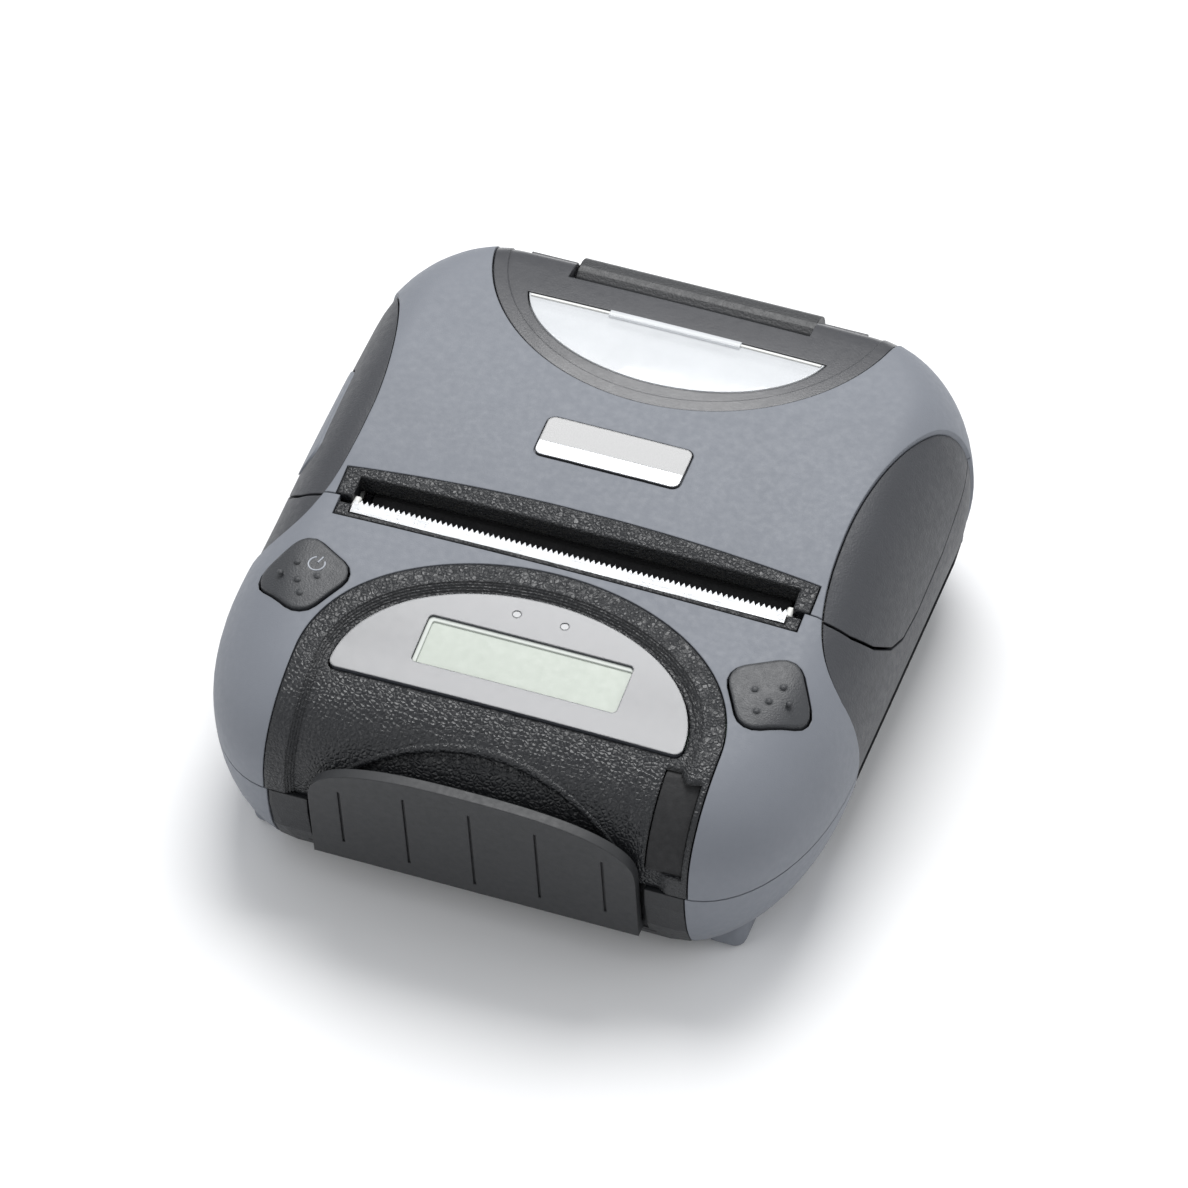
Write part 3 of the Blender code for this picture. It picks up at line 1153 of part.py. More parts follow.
def bottom_case():
    """The lower case: inner tub, visible strips and rear wall, hinge tower, swipe wall and screw bosses."""
    far = HALF_WIDTH + OVERRUN
    inner = CASE_INNER_STEP + CASE_WALL
    thing = skin("bottom_case", CASE_INNER_STEP, inner)
    keep(thing, box("tub_room", (-far, FRONT_Y, 0.0), (far, REAR_Y, CASE_LEDGE_Z), cutter=True))
    panel_x = ARCH_HALF_WIDTH + SEAM * 2
    low = (-panel_x, FRONT_Y - OVERRUN, FRONT_SEAM_Z - SEAM)
    cut(thing, box("panel_space", low, (panel_x, CASE_HOLLOW_FRONT_Y, 2 * BLADE_Z), cutter=True))
    outer = skin("outer", 0.0, CASE_INNER_STEP + CASE_WALL / 2)
    keep(outer, box("outer_room", (-far, FRONT_Y - OVERRUN, 0.0), (far, REAR_Y + OVERRUN, FRONT_SEAM_Z - SEAM), cutter=True))
    rear_wall = skin("rear_wall", 0.0, CASE_INNER_STEP + CASE_WALL / 2)
    wall_x = FOOT_INNER_X + SEAM
    low = (-wall_x, REAR_PANEL_CENTRE_Y - UPPER_ROLL_REAR, WIDEST_Z - OVERRUN)
    keep(rear_wall, box("rear_room", low, (wall_x, REAR_Y + OVERRUN, BLADE_Z), cutter=True))
    cut(rear_wall, lid_region(SEAM))
    join(outer, rear_wall)
    for end in ("front", "rear"):
        for side in (-1, 1):
            cut(outer, box("bumper_space", *grown(bumper_limits(side, end), SEAM), cutter=True))
    for side in (-1, 1):
        cut(outer, grip_region(side, SEAM, low=GRIP_LOWER_Z - SEAM))
    join(thing, outer)
    wall_half = SWIPE_HALF_WIDTH + CASE_WALL
    low = (-wall_half, SWIPE_WALL_Y, GUIDE_BOTTOM_Z - CASE_WALL)
    join(thing, box("swipe_wall", low, (wall_half, SWIPE_WALL_Y + CASE_WALL, FRONT_SEAM_Z - SEAM), cutter=True))
    low = (-SWIPE_HALF_WIDTH, FRONT_Y - OVERRUN, GUIDE_BOTTOM_Z - GAP)
    cut(thing, box("swipe_space", low, (SWIPE_HALF_WIDTH, SWIPE_WALL_Y, 2 * BLADE_Z), cutter=True))
    low = (-CASE_HOLLOW_HALF_WIDTH, CASE_HOLLOW_FRONT_Y, CASE_FLOOR_TOP_Z)
    high = (CASE_HOLLOW_HALF_WIDTH, CASE_HOLLOW_REAR_Y, CASE_HOLLOW_TOP_Z)
    cut(thing, box("hollow", low, high, cutter=True))
    for side in (-1, 1):
        cut(thing, hinge_sweep(side))
    join(thing, hinge_tower())
    tops = (CONTROL_BOARD_Z - GAP, WIDEST_Z)
    for y, top in zip(BOSS_YS, tops):
        for side in (-1, 1):
            low_z = CASE_UNDERSIDE_Z + GAP
            join(thing, post("boss", BOSS_RADIUS, side * BOSS_X, y, low_z, top, cutter=True))
            head_top = CASE_UNDERSIDE_Z + SCREW_HEAD_HEIGHT * 2 + GAP
            room = SCREW_HEAD_RADIUS + GAP
            cut(thing, post("head_room", room, side * BOSS_X, y, -OVERRUN, head_top, cutter=True))
            room = SCREW_SHANK_RADIUS + GAP
            cut(thing, post("shank_room", room, side * BOSS_X, y, 0.0, head_top + SCREW_LENGTH + GAP, cutter=True))
    for end in ("front", "rear"):
        for side in (-1, 1):
            low, high = grown(foot_limits(side, end), GAP)
            cut(thing, box("foot_space", (low[0], low[1], -OVERRUN), high, cutter=True))
    far = HINGE_PIN_HALF_LENGTH
    cut(thing, axle("pin_room", HINGE_PIN_RADIUS + GAP / 2, -far, far, HINGE_Y, HINGE_Z, cutter=True))
    low, high = grown(battery_limits(), GAP)
    cut(thing, box("battery_door", (low[0], low[1], -OVERRUN), (high[0], high[1], CASE_HOLLOW_TOP_Z), cutter=True))
    low, high = latch_slider_limits()
    play = LATCH_SLIDER_PLAY
    low = (low[0] - play, low[1] - play, -OVERRUN)
    high = (high[0] + play, high[1] + play + LATCH_SLIDER_TRAVEL, CASE_HOLLOW_TOP_Z)
    cut(thing, box("slider_room", low, high, cutter=True))
    low, high = read_head_limits()
    room_low = (low[0] - GAP, FRONT_Y, low[2] - GAP)
    cut(thing, box("head_window", room_low, (high[0] + GAP, high[1], high[2] + GAP), cutter=True))
    for end in (-1, 1):
        middle = READ_HEAD_X + end * (LEAF_HALF_LENGTH - SWITCH_HEIGHT / 2)
        half = SWITCH_HEIGHT / 2 - GAP
        low = (middle - half, SWIPE_WALL_Y + CASE_WALL / 2, READ_HEAD_Z - half)
        rest_y = read_head_limits()[1][1] + LEAF_GAP - GAP
        join(thing, box("leaf_rest", low, (middle + half, rest_y, READ_HEAD_Z + half), cutter=True))
    return finish_piece(thing, BLACK_GRAIN)


def battery_limits():
    low = (-BATTERY_HALF_WIDTH, BATTERY_FRONT_Y, CASE_UNDERSIDE_Z)
    return low, (BATTERY_HALF_WIDTH, BATTERY_REAR_Y, BATTERY_TOP_Z)


def battery_pack():
    low, high = battery_limits()
    thing = rounded_box("battery_pack", (low[0], low[1], CASE_FLOOR_TOP_Z), high, BATTERY_ROUND, segments=2)
    cover_low = (low[0], low[1], low[2])
    cover_high = (high[0], high[1], CASE_FLOOR_TOP_Z + BATTERY_ROUND)
    join(thing, box("battery_cover", cover_low, cover_high, cutter=True))
    return finish_piece(thing, CHARCOAL)


def latch_slider_limits():
    front = BATTERY_REAR_Y + BATTERY_LIP
    low = (-LATCH_SLIDER_HALF_WIDTH, front, CASE_UNDERSIDE_Z)
    return low, (LATCH_SLIDER_HALF_WIDTH, front + LATCH_SLIDER_DEPTH, CASE_FLOOR_TOP_Z + GAP)


def battery_latch():
    low, high = latch_slider_limits()
    thing = box("battery_latch", low, high)
    lip = BATTERY_LIP
    top = high[2] + GAP * 2
    flange_low = (low[0] - lip, low[1] - LATCH_SLIDER_PLAY, high[2] - TOUCH)
    flange_high = (high[0] + lip, high[1] + LATCH_SLIDER_PLAY, top)
    join(thing, box("flange", flange_low, flange_high, cutter=True))
    rib = LATCH_SLIDER_DEPTH / 5
    for index in (1, 3):
        y = low[1] + index * rib
        groove_low = (low[0] + lip, y, low[2] - OVERRUN)
        cut(thing, box("finger_groove", groove_low, (high[0] - lip, y + rib, low[2] + GAP), cutter=True))
    return finish_piece(thing, CHARCOAL)


def main_board():
    low = (-MAIN_BOARD_HALF_WIDTH, MAIN_BOARD_FRONT_Y, MAIN_BOARD_Z)
    high = (MAIN_BOARD_HALF_WIDTH, MAIN_BOARD_REAR_Y, MAIN_BOARD_Z + BOARD_THICKNESS)
    thing = box("main_board", low, high)
    start = -(CONTACT_COUNT - 1) / 2 * CONTACT_PITCH
    for index in range(CONTACT_COUNT):
        x = start + index * CONTACT_PITCH
        half = CONTACT_SIDE / 2
        y = (MAIN_BOARD_FRONT_Y + MAIN_BOARD_REAR_Y) / 2
        tall = high[2] + CONTACT_SIDE * 2
        join(thing, box("contact", (x - half, y - half, low[2] + TOUCH), (x + half, y + half, tall), cutter=True))
    return finish_piece(thing, BOARD_GREEN)


def case_screws():
    for row, y in zip(("front", "rear"), BOSS_YS):
        for side in (-1, 1):
            x = side * BOSS_X
            seat = CASE_UNDERSIDE_Z + SCREW_HEAD_HEIGHT * 2
            head_low = seat - SCREW_HEAD_HEIGHT
            thing = post(row + "_screw_" + side_name(side), SCREW_HEAD_RADIUS, x, y, head_low, seat)
            shank_top = seat + SCREW_LENGTH
            join(thing, post("shank", SCREW_SHANK_RADIUS, x, y, seat - GAP, shank_top, cutter=True))
            finish_piece(thing, STEEL)


def read_head_limits():
    low = (READ_HEAD_X - READ_HEAD_HALF_WIDTH, SWIPE_WALL_Y - READ_HEAD_PROUD, READ_HEAD_Z - READ_HEAD_HALF_HEIGHT)
    high_y = low[1] + READ_HEAD_DEPTH
    return low, (READ_HEAD_X + READ_HEAD_HALF_WIDTH, high_y, READ_HEAD_Z + READ_HEAD_HALF_HEIGHT)


def read_head():
    low, high = read_head_limits()
    thing = rounded_box("read_head", low, high, READ_HEAD_PROUD, segments=2)
    finish_piece(thing, STEEL)
    leaf_y = high[1] + LEAF_GAP
    spring_low = (READ_HEAD_X - LEAF_HALF_LENGTH, leaf_y, READ_HEAD_Z - SWITCH_HEIGHT / 2)
    spring_high = (READ_HEAD_X + LEAF_HALF_LENGTH, leaf_y + LEAF_THICKNESS, READ_HEAD_Z + SWITCH_HEIGHT / 2)
    finish_piece(box("read_head_spring", spring_low, spring_high), STEEL)


def card_guide():
    """The leaning plate with five grooves, and the flange that joins it to the swipe wall."""
    rise = GUIDE_CROWN_Z - GUIDE_SHOULDER_Z
    outline = [(GUIDE_HALF_WIDTH, GUIDE_BOTTOM_Z)]
    for index in range(ARC_STEPS + 1):
        share = math.cos(index / ARC_STEPS * 180.0 * DEG)
        arc = (1 - abs(share) ** 2.6) ** (1 / 2.6)
        outline.append((GUIDE_HALF_WIDTH * share, GUIDE_SHOULDER_Z + rise * arc))
    outline.append((-GUIDE_HALF_WIDTH, GUIDE_BOTTOM_Z))
    thing = prism("card_guide", outline, "Y", GUIDE_BOTTOM_Y, GUIDE_BOTTOM_Y + GUIDE_THICKNESS)
    middle = (GUIDE_GROOVE_COUNT - 1) / 2
    for index in range(GUIDE_GROOVE_COUNT):
        place = index - middle
        x = place * GUIDE_GROOVE_PITCH
        share = min(abs(x) / GUIDE_HALF_WIDTH, 1.0)
        top = GUIDE_SHOULDER_Z + rise * (1 - share**2.6) ** (1 / 2.6) - GUIDE_GROOVE_TOP_DROP
        bottom = GUIDE_BOTTOM_Z + GUIDE_GROOVE_BOTTOM_RISE * (0.5 + abs(place) / 4)
        half = GUIDE_GROOVE_WIDTH / 2
        low = (x - half, GUIDE_BOTTOM_Y - OVERRUN, bottom)
        cut(thing, box("groove", low, (x + half, GUIDE_BOTTOM_Y + GUIDE_GROOVE_DEPTH, top), cutter=True))
    pivot = (0.0, GUIDE_BOTTOM_Y, GUIDE_BOTTOM_Z)
    spin = Matrix.Translation(pivot) @ Matrix.Rotation(GUIDE_LEAN, 4, "X") @ Matrix.Translation(-Vector(pivot))
    thing.data.transform(spin)
    low = (-GUIDE_HALF_WIDTH, GUIDE_BOTTOM_Y + GUIDE_THICKNESS / 2, GUIDE_BOTTOM_Z)
    high = (GUIDE_HALF_WIDTH, SWIPE_WALL_Y - GAP, GUIDE_BOTTOM_Z + GUIDE_FLANGE)
    join(thing, box("flange", low, high, cutter=True))
    return finish_piece(thing, CHARCOAL)


def port_cover():
    thing = skin("port_cover", PANEL_RECESS, PANEL_RECESS + PORT_THICKNESS)
    keep(thing, port_box("port", 0.0, FRONT_Y - OVERRUN, ARCH_CENTRE_Y))
    pivot_y, pivot_z = port_pivot()
    knuckle = axle("knuckle", PORT_KNUCKLE_RADIUS, PORT_INNER_X, PORT_OUTER_X, pivot_y, pivot_z, SMALL_SIDES, True)
    join(thing, knuckle)
    return finish_piece(thing, RUBBER)


def port_socket():
    middle_x = (PORT_INNER_X + PORT_OUTER_X) / 2
    middle_z = SOCKET_MIDDLE_Z
    half_z = SOCKET_HEIGHT / 2
    low = (middle_x - SOCKET_HALF_WIDTH, SOCKET_FRONT_Y, middle_z - half_z)
    high = (middle_x + SOCKET_HALF_WIDTH, SOCKET_FRONT_Y + SOCKET_DEPTH, middle_z + half_z)
    thing = box("port_socket", low, high)
    wall = SOCKET_WALL
    low = (low[0] + wall, low[1] - OVERRUN, low[2] + wall)
    cut(thing, box("socket_room", low, (high[0] - wall, high[1] - wall * 2, high[2] - wall), cutter=True))
    return finish_piece(thing, STEEL)


def idler_place():
    drop = GEAR_MODULE * (PLATEN_GEAR_TEETH + IDLER_TEETH) / 2 + GEAR_MESH_PLAY
    return PLATEN_Y, PLATEN_Z - drop


def pinion_place():
    reach = GEAR_MODULE * (IDLER_TEETH + PINION_TEETH) / 2 + GEAR_MESH_PLAY
    y, z = idler_place()
    return y + reach * math.cos(MOTOR_FROM_IDLER_ANGLE), z + reach * math.sin(MOTOR_FROM_IDLER_ANGLE)


def gear(name, teeth, y, z, turn, bore):
    outline = gear_outline(teeth, y, z, turn, GEAR_MESH_PLAY)
    low = GEAR_X - GEAR_WIDTH / 2
    thing = prism(name, outline, "X", low, low + GEAR_WIDTH)
    cut(thing, axle("bore", bore, 0.0, HALF_WIDTH, y, z, SMALL_SIDES, True))
    return finish_piece(thing, GEAR_WHITE)


def gears_and_motor():
    half_tooth = 180.0 * DEG / PLATEN_GEAR_TEETH
    bore = PLATEN_SHAFT_RADIUS + GEAR_BORE_PLAY
    gear("platen_gear", PLATEN_GEAR_TEETH, PLATEN_Y, PLATEN_Z, -90.0 * DEG + half_tooth, bore)
    y, z = idler_place()
    gear("idler_gear", IDLER_TEETH, y, z, 90.0 * DEG, IDLER_STUD_RADIUS + GEAR_BORE_PLAY)
    y, z = pinion_place()
    half_tooth = 180.0 * DEG / PINION_TEETH
    turn = MOTOR_FROM_IDLER_ANGLE - 180.0 * DEG + half_tooth
    gear("motor_pinion", PINION_TEETH, y, z, turn, MOTOR_SHAFT_RADIUS + GEAR_BORE_PLAY)
    face = CHASSIS_PLATE_X - GAP
    thing = axle("feed_motor", MOTOR_RADIUS, face - MOTOR_LENGTH, face, y, z)
    shaft_end = GEAR_X + GEAR_WIDTH / 2
    join(thing, axle("motor_shaft", MOTOR_SHAFT_RADIUS, face - GAP, shaft_end, y, z, SMALL_SIDES, True))
    finish_piece(thing, STEEL)


def platen():
    thing = axle("platen_roller", PLATEN_RADIUS, -PLATEN_HALF_LENGTH, PLATEN_HALF_LENGTH, PLATEN_Y, PLATEN_Z)
    far = HALF_WIDTH
    cut(thing, axle("bore", PLATEN_SHAFT_RADIUS + GEAR_BORE_PLAY, -far, far, PLATEN_Y, PLATEN_Z, SMALL_SIDES, True))
    finish_piece(thing, RUBBER)
    left = -BEARING_INNER_X - BEARING_WIDTH - GAP
    shaft = axle("platen_shaft", PLATEN_SHAFT_RADIUS, left, PLATEN_SHAFT_END_X, PLATEN_Y, PLATEN_Z, SMALL_SIDES)
    finish_piece(shaft, STEEL)
    for side in (-1, 1):
        ends = sorted((side * BEARING_INNER_X, side * (BEARING_INNER_X + BEARING_WIDTH)))
        bush = axle("platen_bearing_" + side_name(side), BEARING_RADIUS, ends[0], ends[1], PLATEN_Y, PLATEN_Z)
        bore = PLATEN_SHAFT_RADIUS + GEAR_BORE_PLAY
        cut(bush, axle("bore", bore, -far, far, PLATEN_Y, PLATEN_Z, SMALL_SIDES, True))
        finish_piece(bush, GEAR_WHITE)


def chassis():
    """Folded sheet frame of the print mechanism, with open notches for the platen's bearings."""
    outer = CHASSIS_PLATE_X + CHASSIS_PLATE_THICKNESS
    low = (-outer, CHASSIS_FRONT_Y, CHASSIS_FLOOR_Z)
    thing = box("chassis", low, (outer, CHASSIS_REAR_Y, CHASSIS_TOP_Z))
    inside_low = (-CHASSIS_PLATE_X, CHASSIS_FRONT_Y - OVERRUN, CHASSIS_FLOOR_Z + CHASSIS_SHEET)
    inside_high = (CHASSIS_PLATE_X, CHASSIS_REAR_Y + OVERRUN, 2 * BLADE_Z)
    cut(thing, box("inside", inside_low, inside_high, cutter=True))
    reach = CHASSIS_PLATE_X + TOUCH
    low = (-reach, CHASSIS_FRONT_Y, CHASSIS_FLOOR_Z + TOUCH)
    join(thing, box("front_wall", low, (reach, CHASSIS_FRONT_Y + CHASSIS_SHEET, HEAD_SHELF_Z), cutter=True))
    low = (-HEAD_SHELF_HALF_WIDTH, CHASSIS_FRONT_Y + TOUCH, HEAD_SHELF_Z - CHASSIS_SHEET)
    high = (HEAD_SHELF_HALF_WIDTH, CHASSIS_FRONT_Y + HEAD_SHELF_DEPTH, HEAD_SHELF_Z - TOUCH)
    join(thing, box("shelf", low, high, cutter=True))
    low = (-reach, CHASSIS_FRONT_Y, CHASSIS_FLANGE_Z)
    high = (reach, CHASSIS_FRONT_Y + CHASSIS_FLANGE_DEPTH, CHASSIS_FLANGE_Z + CHASSIS_SHEET)
    join(thing, box("flange", low, high, cutter=True))
    room = BEARING_RADIUS + GAP
    far = HALF_WIDTH
    cut(thing, axle("bearing_room", room, -far, far, PLATEN_Y, PLATEN_Z, cutter=True))
    low = (-far, PLATEN_Y - room, PLATEN_Z)
    cut(thing, box("notch", low, (far, PLATEN_Y + room, 2 * BLADE_Z), cutter=True))
    pivot_room = HEAD_PIVOT_RADIUS + GEAR_BORE_PLAY
    cut(thing, axle("pivot_room", pivot_room, -far, far, HEAD_PIVOT_Y, HEAD_PIVOT_Z, SMALL_SIDES, True))
    y, z = pinion_place()
    cut(thing, axle("pinion_room", GEAR_MODULE * PINION_TEETH / 2, 0.0, far, y, z, SMALL_SIDES, True))
    y, z = idler_place()
    end = GEAR_X + GEAR_WIDTH / 2 + GAP
    join(thing, axle("stud", IDLER_STUD_RADIUS, CHASSIS_PLATE_X + TOUCH, end, y, z, SMALL_SIDES, True))
    return finish_piece(thing, STEEL)


def head_face_y():
    return PLATEN_Y - PLATEN_RADIUS - HEAD_FACE_GAP


def head_bracket():
    rear = head_face_y() - HEAD_STRIP_THICKNESS - GAP
    front = rear - HEAD_THICKNESS
    half = HEAD_HALF_WIDTH
    thing = box("head_bracket", (-half, front, HEAD_BOTTOM_Z), (half, rear, HEAD_TOP_Z))
    arm_z = HEAD_PIVOT_Z
    low = (-half, HEAD_PIVOT_Y - HEAD_ARM_LENGTH, arm_z - HEAD_ARM_THICKNESS / 2)
    join(thing, box("arm", low, (half, HEAD_PIVOT_Y, arm_z + HEAD_ARM_THICKNESS / 2), cutter=True))
    low = (-half, front, arm_z)
    join(thing, box("neck", low, (half, front + HEAD_THICKNESS / 2, HEAD_BOTTOM_Z + GAP), cutter=True))
    end = CHASSIS_PLATE_X + CHASSIS_PLATE_THICKNESS / 2
    pivot = axle("pivot", HEAD_PIVOT_RADIUS, -end, end, HEAD_PIVOT_Y, HEAD_PIVOT_Z, SMALL_SIDES, True)
    join(thing, pivot)
    finish_piece(thing, STEEL)
    low = (-half, head_face_y() - HEAD_STRIP_THICKNESS, PLATEN_Z - HEAD_STRIP_HEIGHT)
    strip = box("print_head", low, (half, head_face_y(), PLATEN_Z + HEAD_STRIP_HEIGHT))
    finish_piece(strip, CERAMIC)


def head_spring_span():
    low = HEAD_SHELF_Z + GAP
    return low, HEAD_PIVOT_Z - HEAD_ARM_THICKNESS / 2 - GAP


def head_springs():
    """Two small coil springs under the arm of the head bracket, each one unbroken tube."""
    low, high = head_spring_span()
    wire = HEAD_SPRING_WIRE
    coil_low = low + wire
    coil_height = high - low - 2 * wire
    steps = HEAD_SPRING_TURNS * 8
    y = HEAD_PIVOT_Y - HEAD_ARM_LENGTH + HEAD_SPRING_RADIUS / 2
    for side in (-1, 1):
        name = "head_spring_" + side_name(side)
        curve = bpy.data.curves.new(name, "CURVE")
        curve.dimensions = "3D"
        curve.bevel_depth = wire
        curve.bevel_resolution = 1
        curve.use_fill_caps = True
        line = curve.splines.new("POLY")
        line.points.add(steps)
        for index in range(steps + 1):
            angle = index / 8 * 360.0 * DEG
            x = side * HEAD_SPRING_X + HEAD_SPRING_RADIUS * math.cos(angle)
            point_y = y + HEAD_SPRING_RADIUS * math.sin(angle)
            line.points[index].co = (x, point_y, coil_low + coil_height * index / steps, 1.0)
        raw = bpy.data.objects.new(name + "_curve", curve)
        bpy.data.collections[CUTTERS].objects.link(raw)
        graph = bpy.context.evaluated_depsgraph_get()
        mesh = bpy.data.meshes.new_from_object(raw.evaluated_get(graph))
        bpy.data.objects.remove(raw, do_unlink=True)
        bm = bmesh.new()
        bm.from_mesh(mesh)
        bmesh.ops.remove_doubles(bm, verts=bm.verts, dist=TOUCH / 10)
        finish_piece(mesh_object(name, bm), STEEL)


def paper_guides():
    for side in (-1, 1):
        ends = sorted((side * PAPER_GUIDE_X, side * (PAPER_GUIDE_X + PAPER_GUIDE_THICKNESS)))
        half = PAPER_GUIDE_DEPTH / 2
        low = (ends[0], PAPER_GUIDE_Y - half, PAPER_GUIDE_BOTTOM_Z)
        high = (ends[1], PAPER_GUIDE_Y + half, PAPER_GUIDE_TOP_Z)
        thing = rounded_box("paper_guide_" + side_name(side), low, high, GAP, segments=1)
        finish_piece(thing, WHITE_PLASTIC)


def roll_bay():
    """The cradle under the paper roll, open at the top."""
    outer = BAY_RADIUS + BAY_WALL
    outline = [(ROLL_Y + outer, BAY_TOP_Z), (ROLL_Y - outer, BAY_TOP_Z)]
    for index in range(ARC_STEPS + 1):
        angle = (1 + index / ARC_STEPS) * 180.0 * DEG
        outline.append((ROLL_Y + outer * math.cos(angle), BAY_Z + outer * math.sin(angle)))
    end = BAY_HALF_WIDTH + BAY_WALL
    thing = prism("roll_bay", outline, "X", -end, end)
    room = axle("bay_room", BAY_RADIUS, -BAY_HALF_WIDTH, BAY_HALF_WIDTH, ROLL_Y, BAY_Z, 2 * ARC_STEPS, True)
    low = (-BAY_HALF_WIDTH, ROLL_Y - BAY_RADIUS, BAY_Z)
    join(room, box("mouth", low, (BAY_HALF_WIDTH, ROLL_Y + BAY_RADIUS, 2 * BLADE_Z), cutter=True))
    cut(thing, room)
    return finish_piece(thing, CHARCOAL)


def roll_middle_z():
    return BAY_Z - BAY_RADIUS + GAP + ROLL_RADIUS


def paper_roll():
    z = roll_middle_z()
    half = ROLL_HALF_WIDTH
    thing = axle("paper_roll", ROLL_RADIUS, -half, half, ROLL_Y, z, sides=2 * ROUND_SIDES)
    far = HALF_WIDTH
    cut(thing, axle("core_room", CORE_RADIUS + GAP, -far, far, ROLL_Y, z, cutter=True))
    finish_piece(thing, PAPER)
    core = axle("roll_core", CORE_RADIUS, -half, half, ROLL_Y, z)
    cut(core, axle("core_bore", CORE_RADIUS - CORE_WALL, -far, far, ROLL_Y, z, cutter=True))
    finish_piece(core, CARD_BROWN)


def hinge_pin():
    far = HINGE_PIN_HALF_LENGTH
    pin = axle("hinge_pin", HINGE_PIN_RADIUS, -far, far, HINGE_Y, HINGE_Z, SMALL_SIDES)
    return finish_piece(pin, STEEL)


def build():
    clear_scene()
    bottom_case()
    bumpers()
    front_cover()
    front_panel()
    display_lens()
    display_module()
    lamps()
    control_board()
    buttons_and_switches()
    slot_frame()
    tear_blade()
    card_guide()
    port_cover()
    port_socket()
    read_head()
    lid_cover()
    lid_frame()
    lid_window()
    lid_lip()
    grips()
    name_plate()
    open_button()
    latch_shaft()
    chassis()
    head_bracket()
    head_springs()
    paper_guides()
    platen()
    gears_and_motor()
    roll_bay()
    paper_roll()
    hinge_pin()
    battery_pack()
    battery_latch()
    main_board()
    case_screws()


build()
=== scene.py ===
import math

import bmesh
import bpy
from mathutils import Matrix, Vector


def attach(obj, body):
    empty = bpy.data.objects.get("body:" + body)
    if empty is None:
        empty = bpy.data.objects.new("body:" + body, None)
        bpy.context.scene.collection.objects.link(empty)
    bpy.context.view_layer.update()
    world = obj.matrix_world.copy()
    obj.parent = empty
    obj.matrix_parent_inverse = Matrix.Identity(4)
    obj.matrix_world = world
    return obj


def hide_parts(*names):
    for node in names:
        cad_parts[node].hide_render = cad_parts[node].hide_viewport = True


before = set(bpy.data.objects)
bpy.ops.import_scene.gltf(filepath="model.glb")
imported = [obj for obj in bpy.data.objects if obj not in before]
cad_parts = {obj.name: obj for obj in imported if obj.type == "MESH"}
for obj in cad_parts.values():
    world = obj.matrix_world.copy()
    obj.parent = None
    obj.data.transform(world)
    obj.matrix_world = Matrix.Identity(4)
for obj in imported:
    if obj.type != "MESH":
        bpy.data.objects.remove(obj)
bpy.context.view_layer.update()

# Units
MM = 0.001
DEG = math.pi / 180.0

# Clearances
GAP = 0.3 * MM
SEAM = 0.3 * MM
OVERRUN = 5.0 * MM
WELD = 0.002 * MM
TOUCH = 0.05 * MM

# Driving dimensions of the body; the tear blade's line is the reference for places along Y and Z
HALF_WIDTH = 58.6 * MM
BLADE_Y = -11.2 * MM
BLADE_Z = 47.0 * MM
FRONT_Y = BLADE_Y - 50.2 * MM
REAR_Y = BLADE_Y + 76.0 * MM
WIDEST_Z = BLADE_Z - 21.0 * MM
CASE_UNDERSIDE_Z = 1.5 * MM
WALL = 1.8 * MM
SKIN_STEP = 0.6 * MM

# How far the upper edges roll in, at the sides, the front and the rear, and the same for the lower edges
UPPER_ROLL_SIDE = 14.0 * MM
UPPER_ROLL_FRONT = 17.0 * MM
UPPER_ROLL_REAR = 8.0 * MM
LOWER_ROLL_SIDE = 16.0 * MM
LOWER_ROLL_FRONT = 11.0 * MM
LOWER_ROLL_REAR = 9.0 * MM

# Corners of the plan, each a quarter ellipse
FRONT_CORNER_X = 20.0 * MM
FRONT_CORNER_Y = 35.0 * MM
REAR_CORNER_X = 20.0 * MM
REAR_CORNER_Y = 26.0 * MM
FRONT_CORNER_SHARE = 0.40
REAR_CORNER_SHARE = 0.34

# Height of the top's middle line above the blade, at places behind the blade
CROWN_POINTS_MM = (
    (-52.0, -5.2),
    (-33.0, -3.9),
    (-19.0, -1.7),
    (0.0, 0.0),
    (9.0, 1.9),
    (20.0, 3.3),
    (38.0, 4.2),
    (58.0, 3.7),
    (78.0, 1.4),
)
CROWN_SIDE_DROP = 0.7 * MM

# Split between lid and base, seen from the side, as places behind and above the blade
LID_SPLIT_POINTS_MM = (
    (1.0, 12.0),
    (1.0, -1.5),
    (2.0, -4.5),
    (5.2, -9.2),
    (10.5, -14.0),
    (16.0, -16.6),
    (24.0, -17.6),
    (39.0, -16.8),
    (55.0, -13.4),
    (76.0, -10.5),
)
FRONT_SEAM_Z = BLADE_Z - 24.4 * MM
GRIP_LOWER_Z = BLADE_Z - 31.0 * MM

# Side grips: their edge in plan is half a rounded lens, longer towards the rear
GRIP_CENTRE_X = HALF_WIDTH + 1.9 * MM
GRIP_DEPTH = 15.0 * MM
GRIP_CENTRE_Y = BLADE_Y + 21.0 * MM
GRIP_FRONT_REACH = 32.5 * MM
GRIP_REAR_REACH = 41.0 * MM
GRIP_FRONT_POWER = 2.6
GRIP_REAR_POWER = 1.7

# Front panel: the outline is half an ellipse in plan, and the display lens is a smaller one with a chord
ARCH_CENTRE_Y = BLADE_Y - 33.0 * MM
ARCH_HALF_WIDTH = HALF_WIDTH - 19.1 * MM
ARCH_LENGTH = 28.0 * MM
ARCH_BAND = 5.2 * MM
PANEL_RECESS = 1.0 * MM
PANEL_WALL = 4.2 * MM
LENS_CHORD_Y = BLADE_Y - 33.4 * MM
LENS_HALF_WIDTH = ARCH_HALF_WIDTH - 6.5 * MM
LENS_LENGTH = 22.2 * MM
LENS_CORNER = 1.6 * MM
LENS_THICKNESS = 1.2 * MM

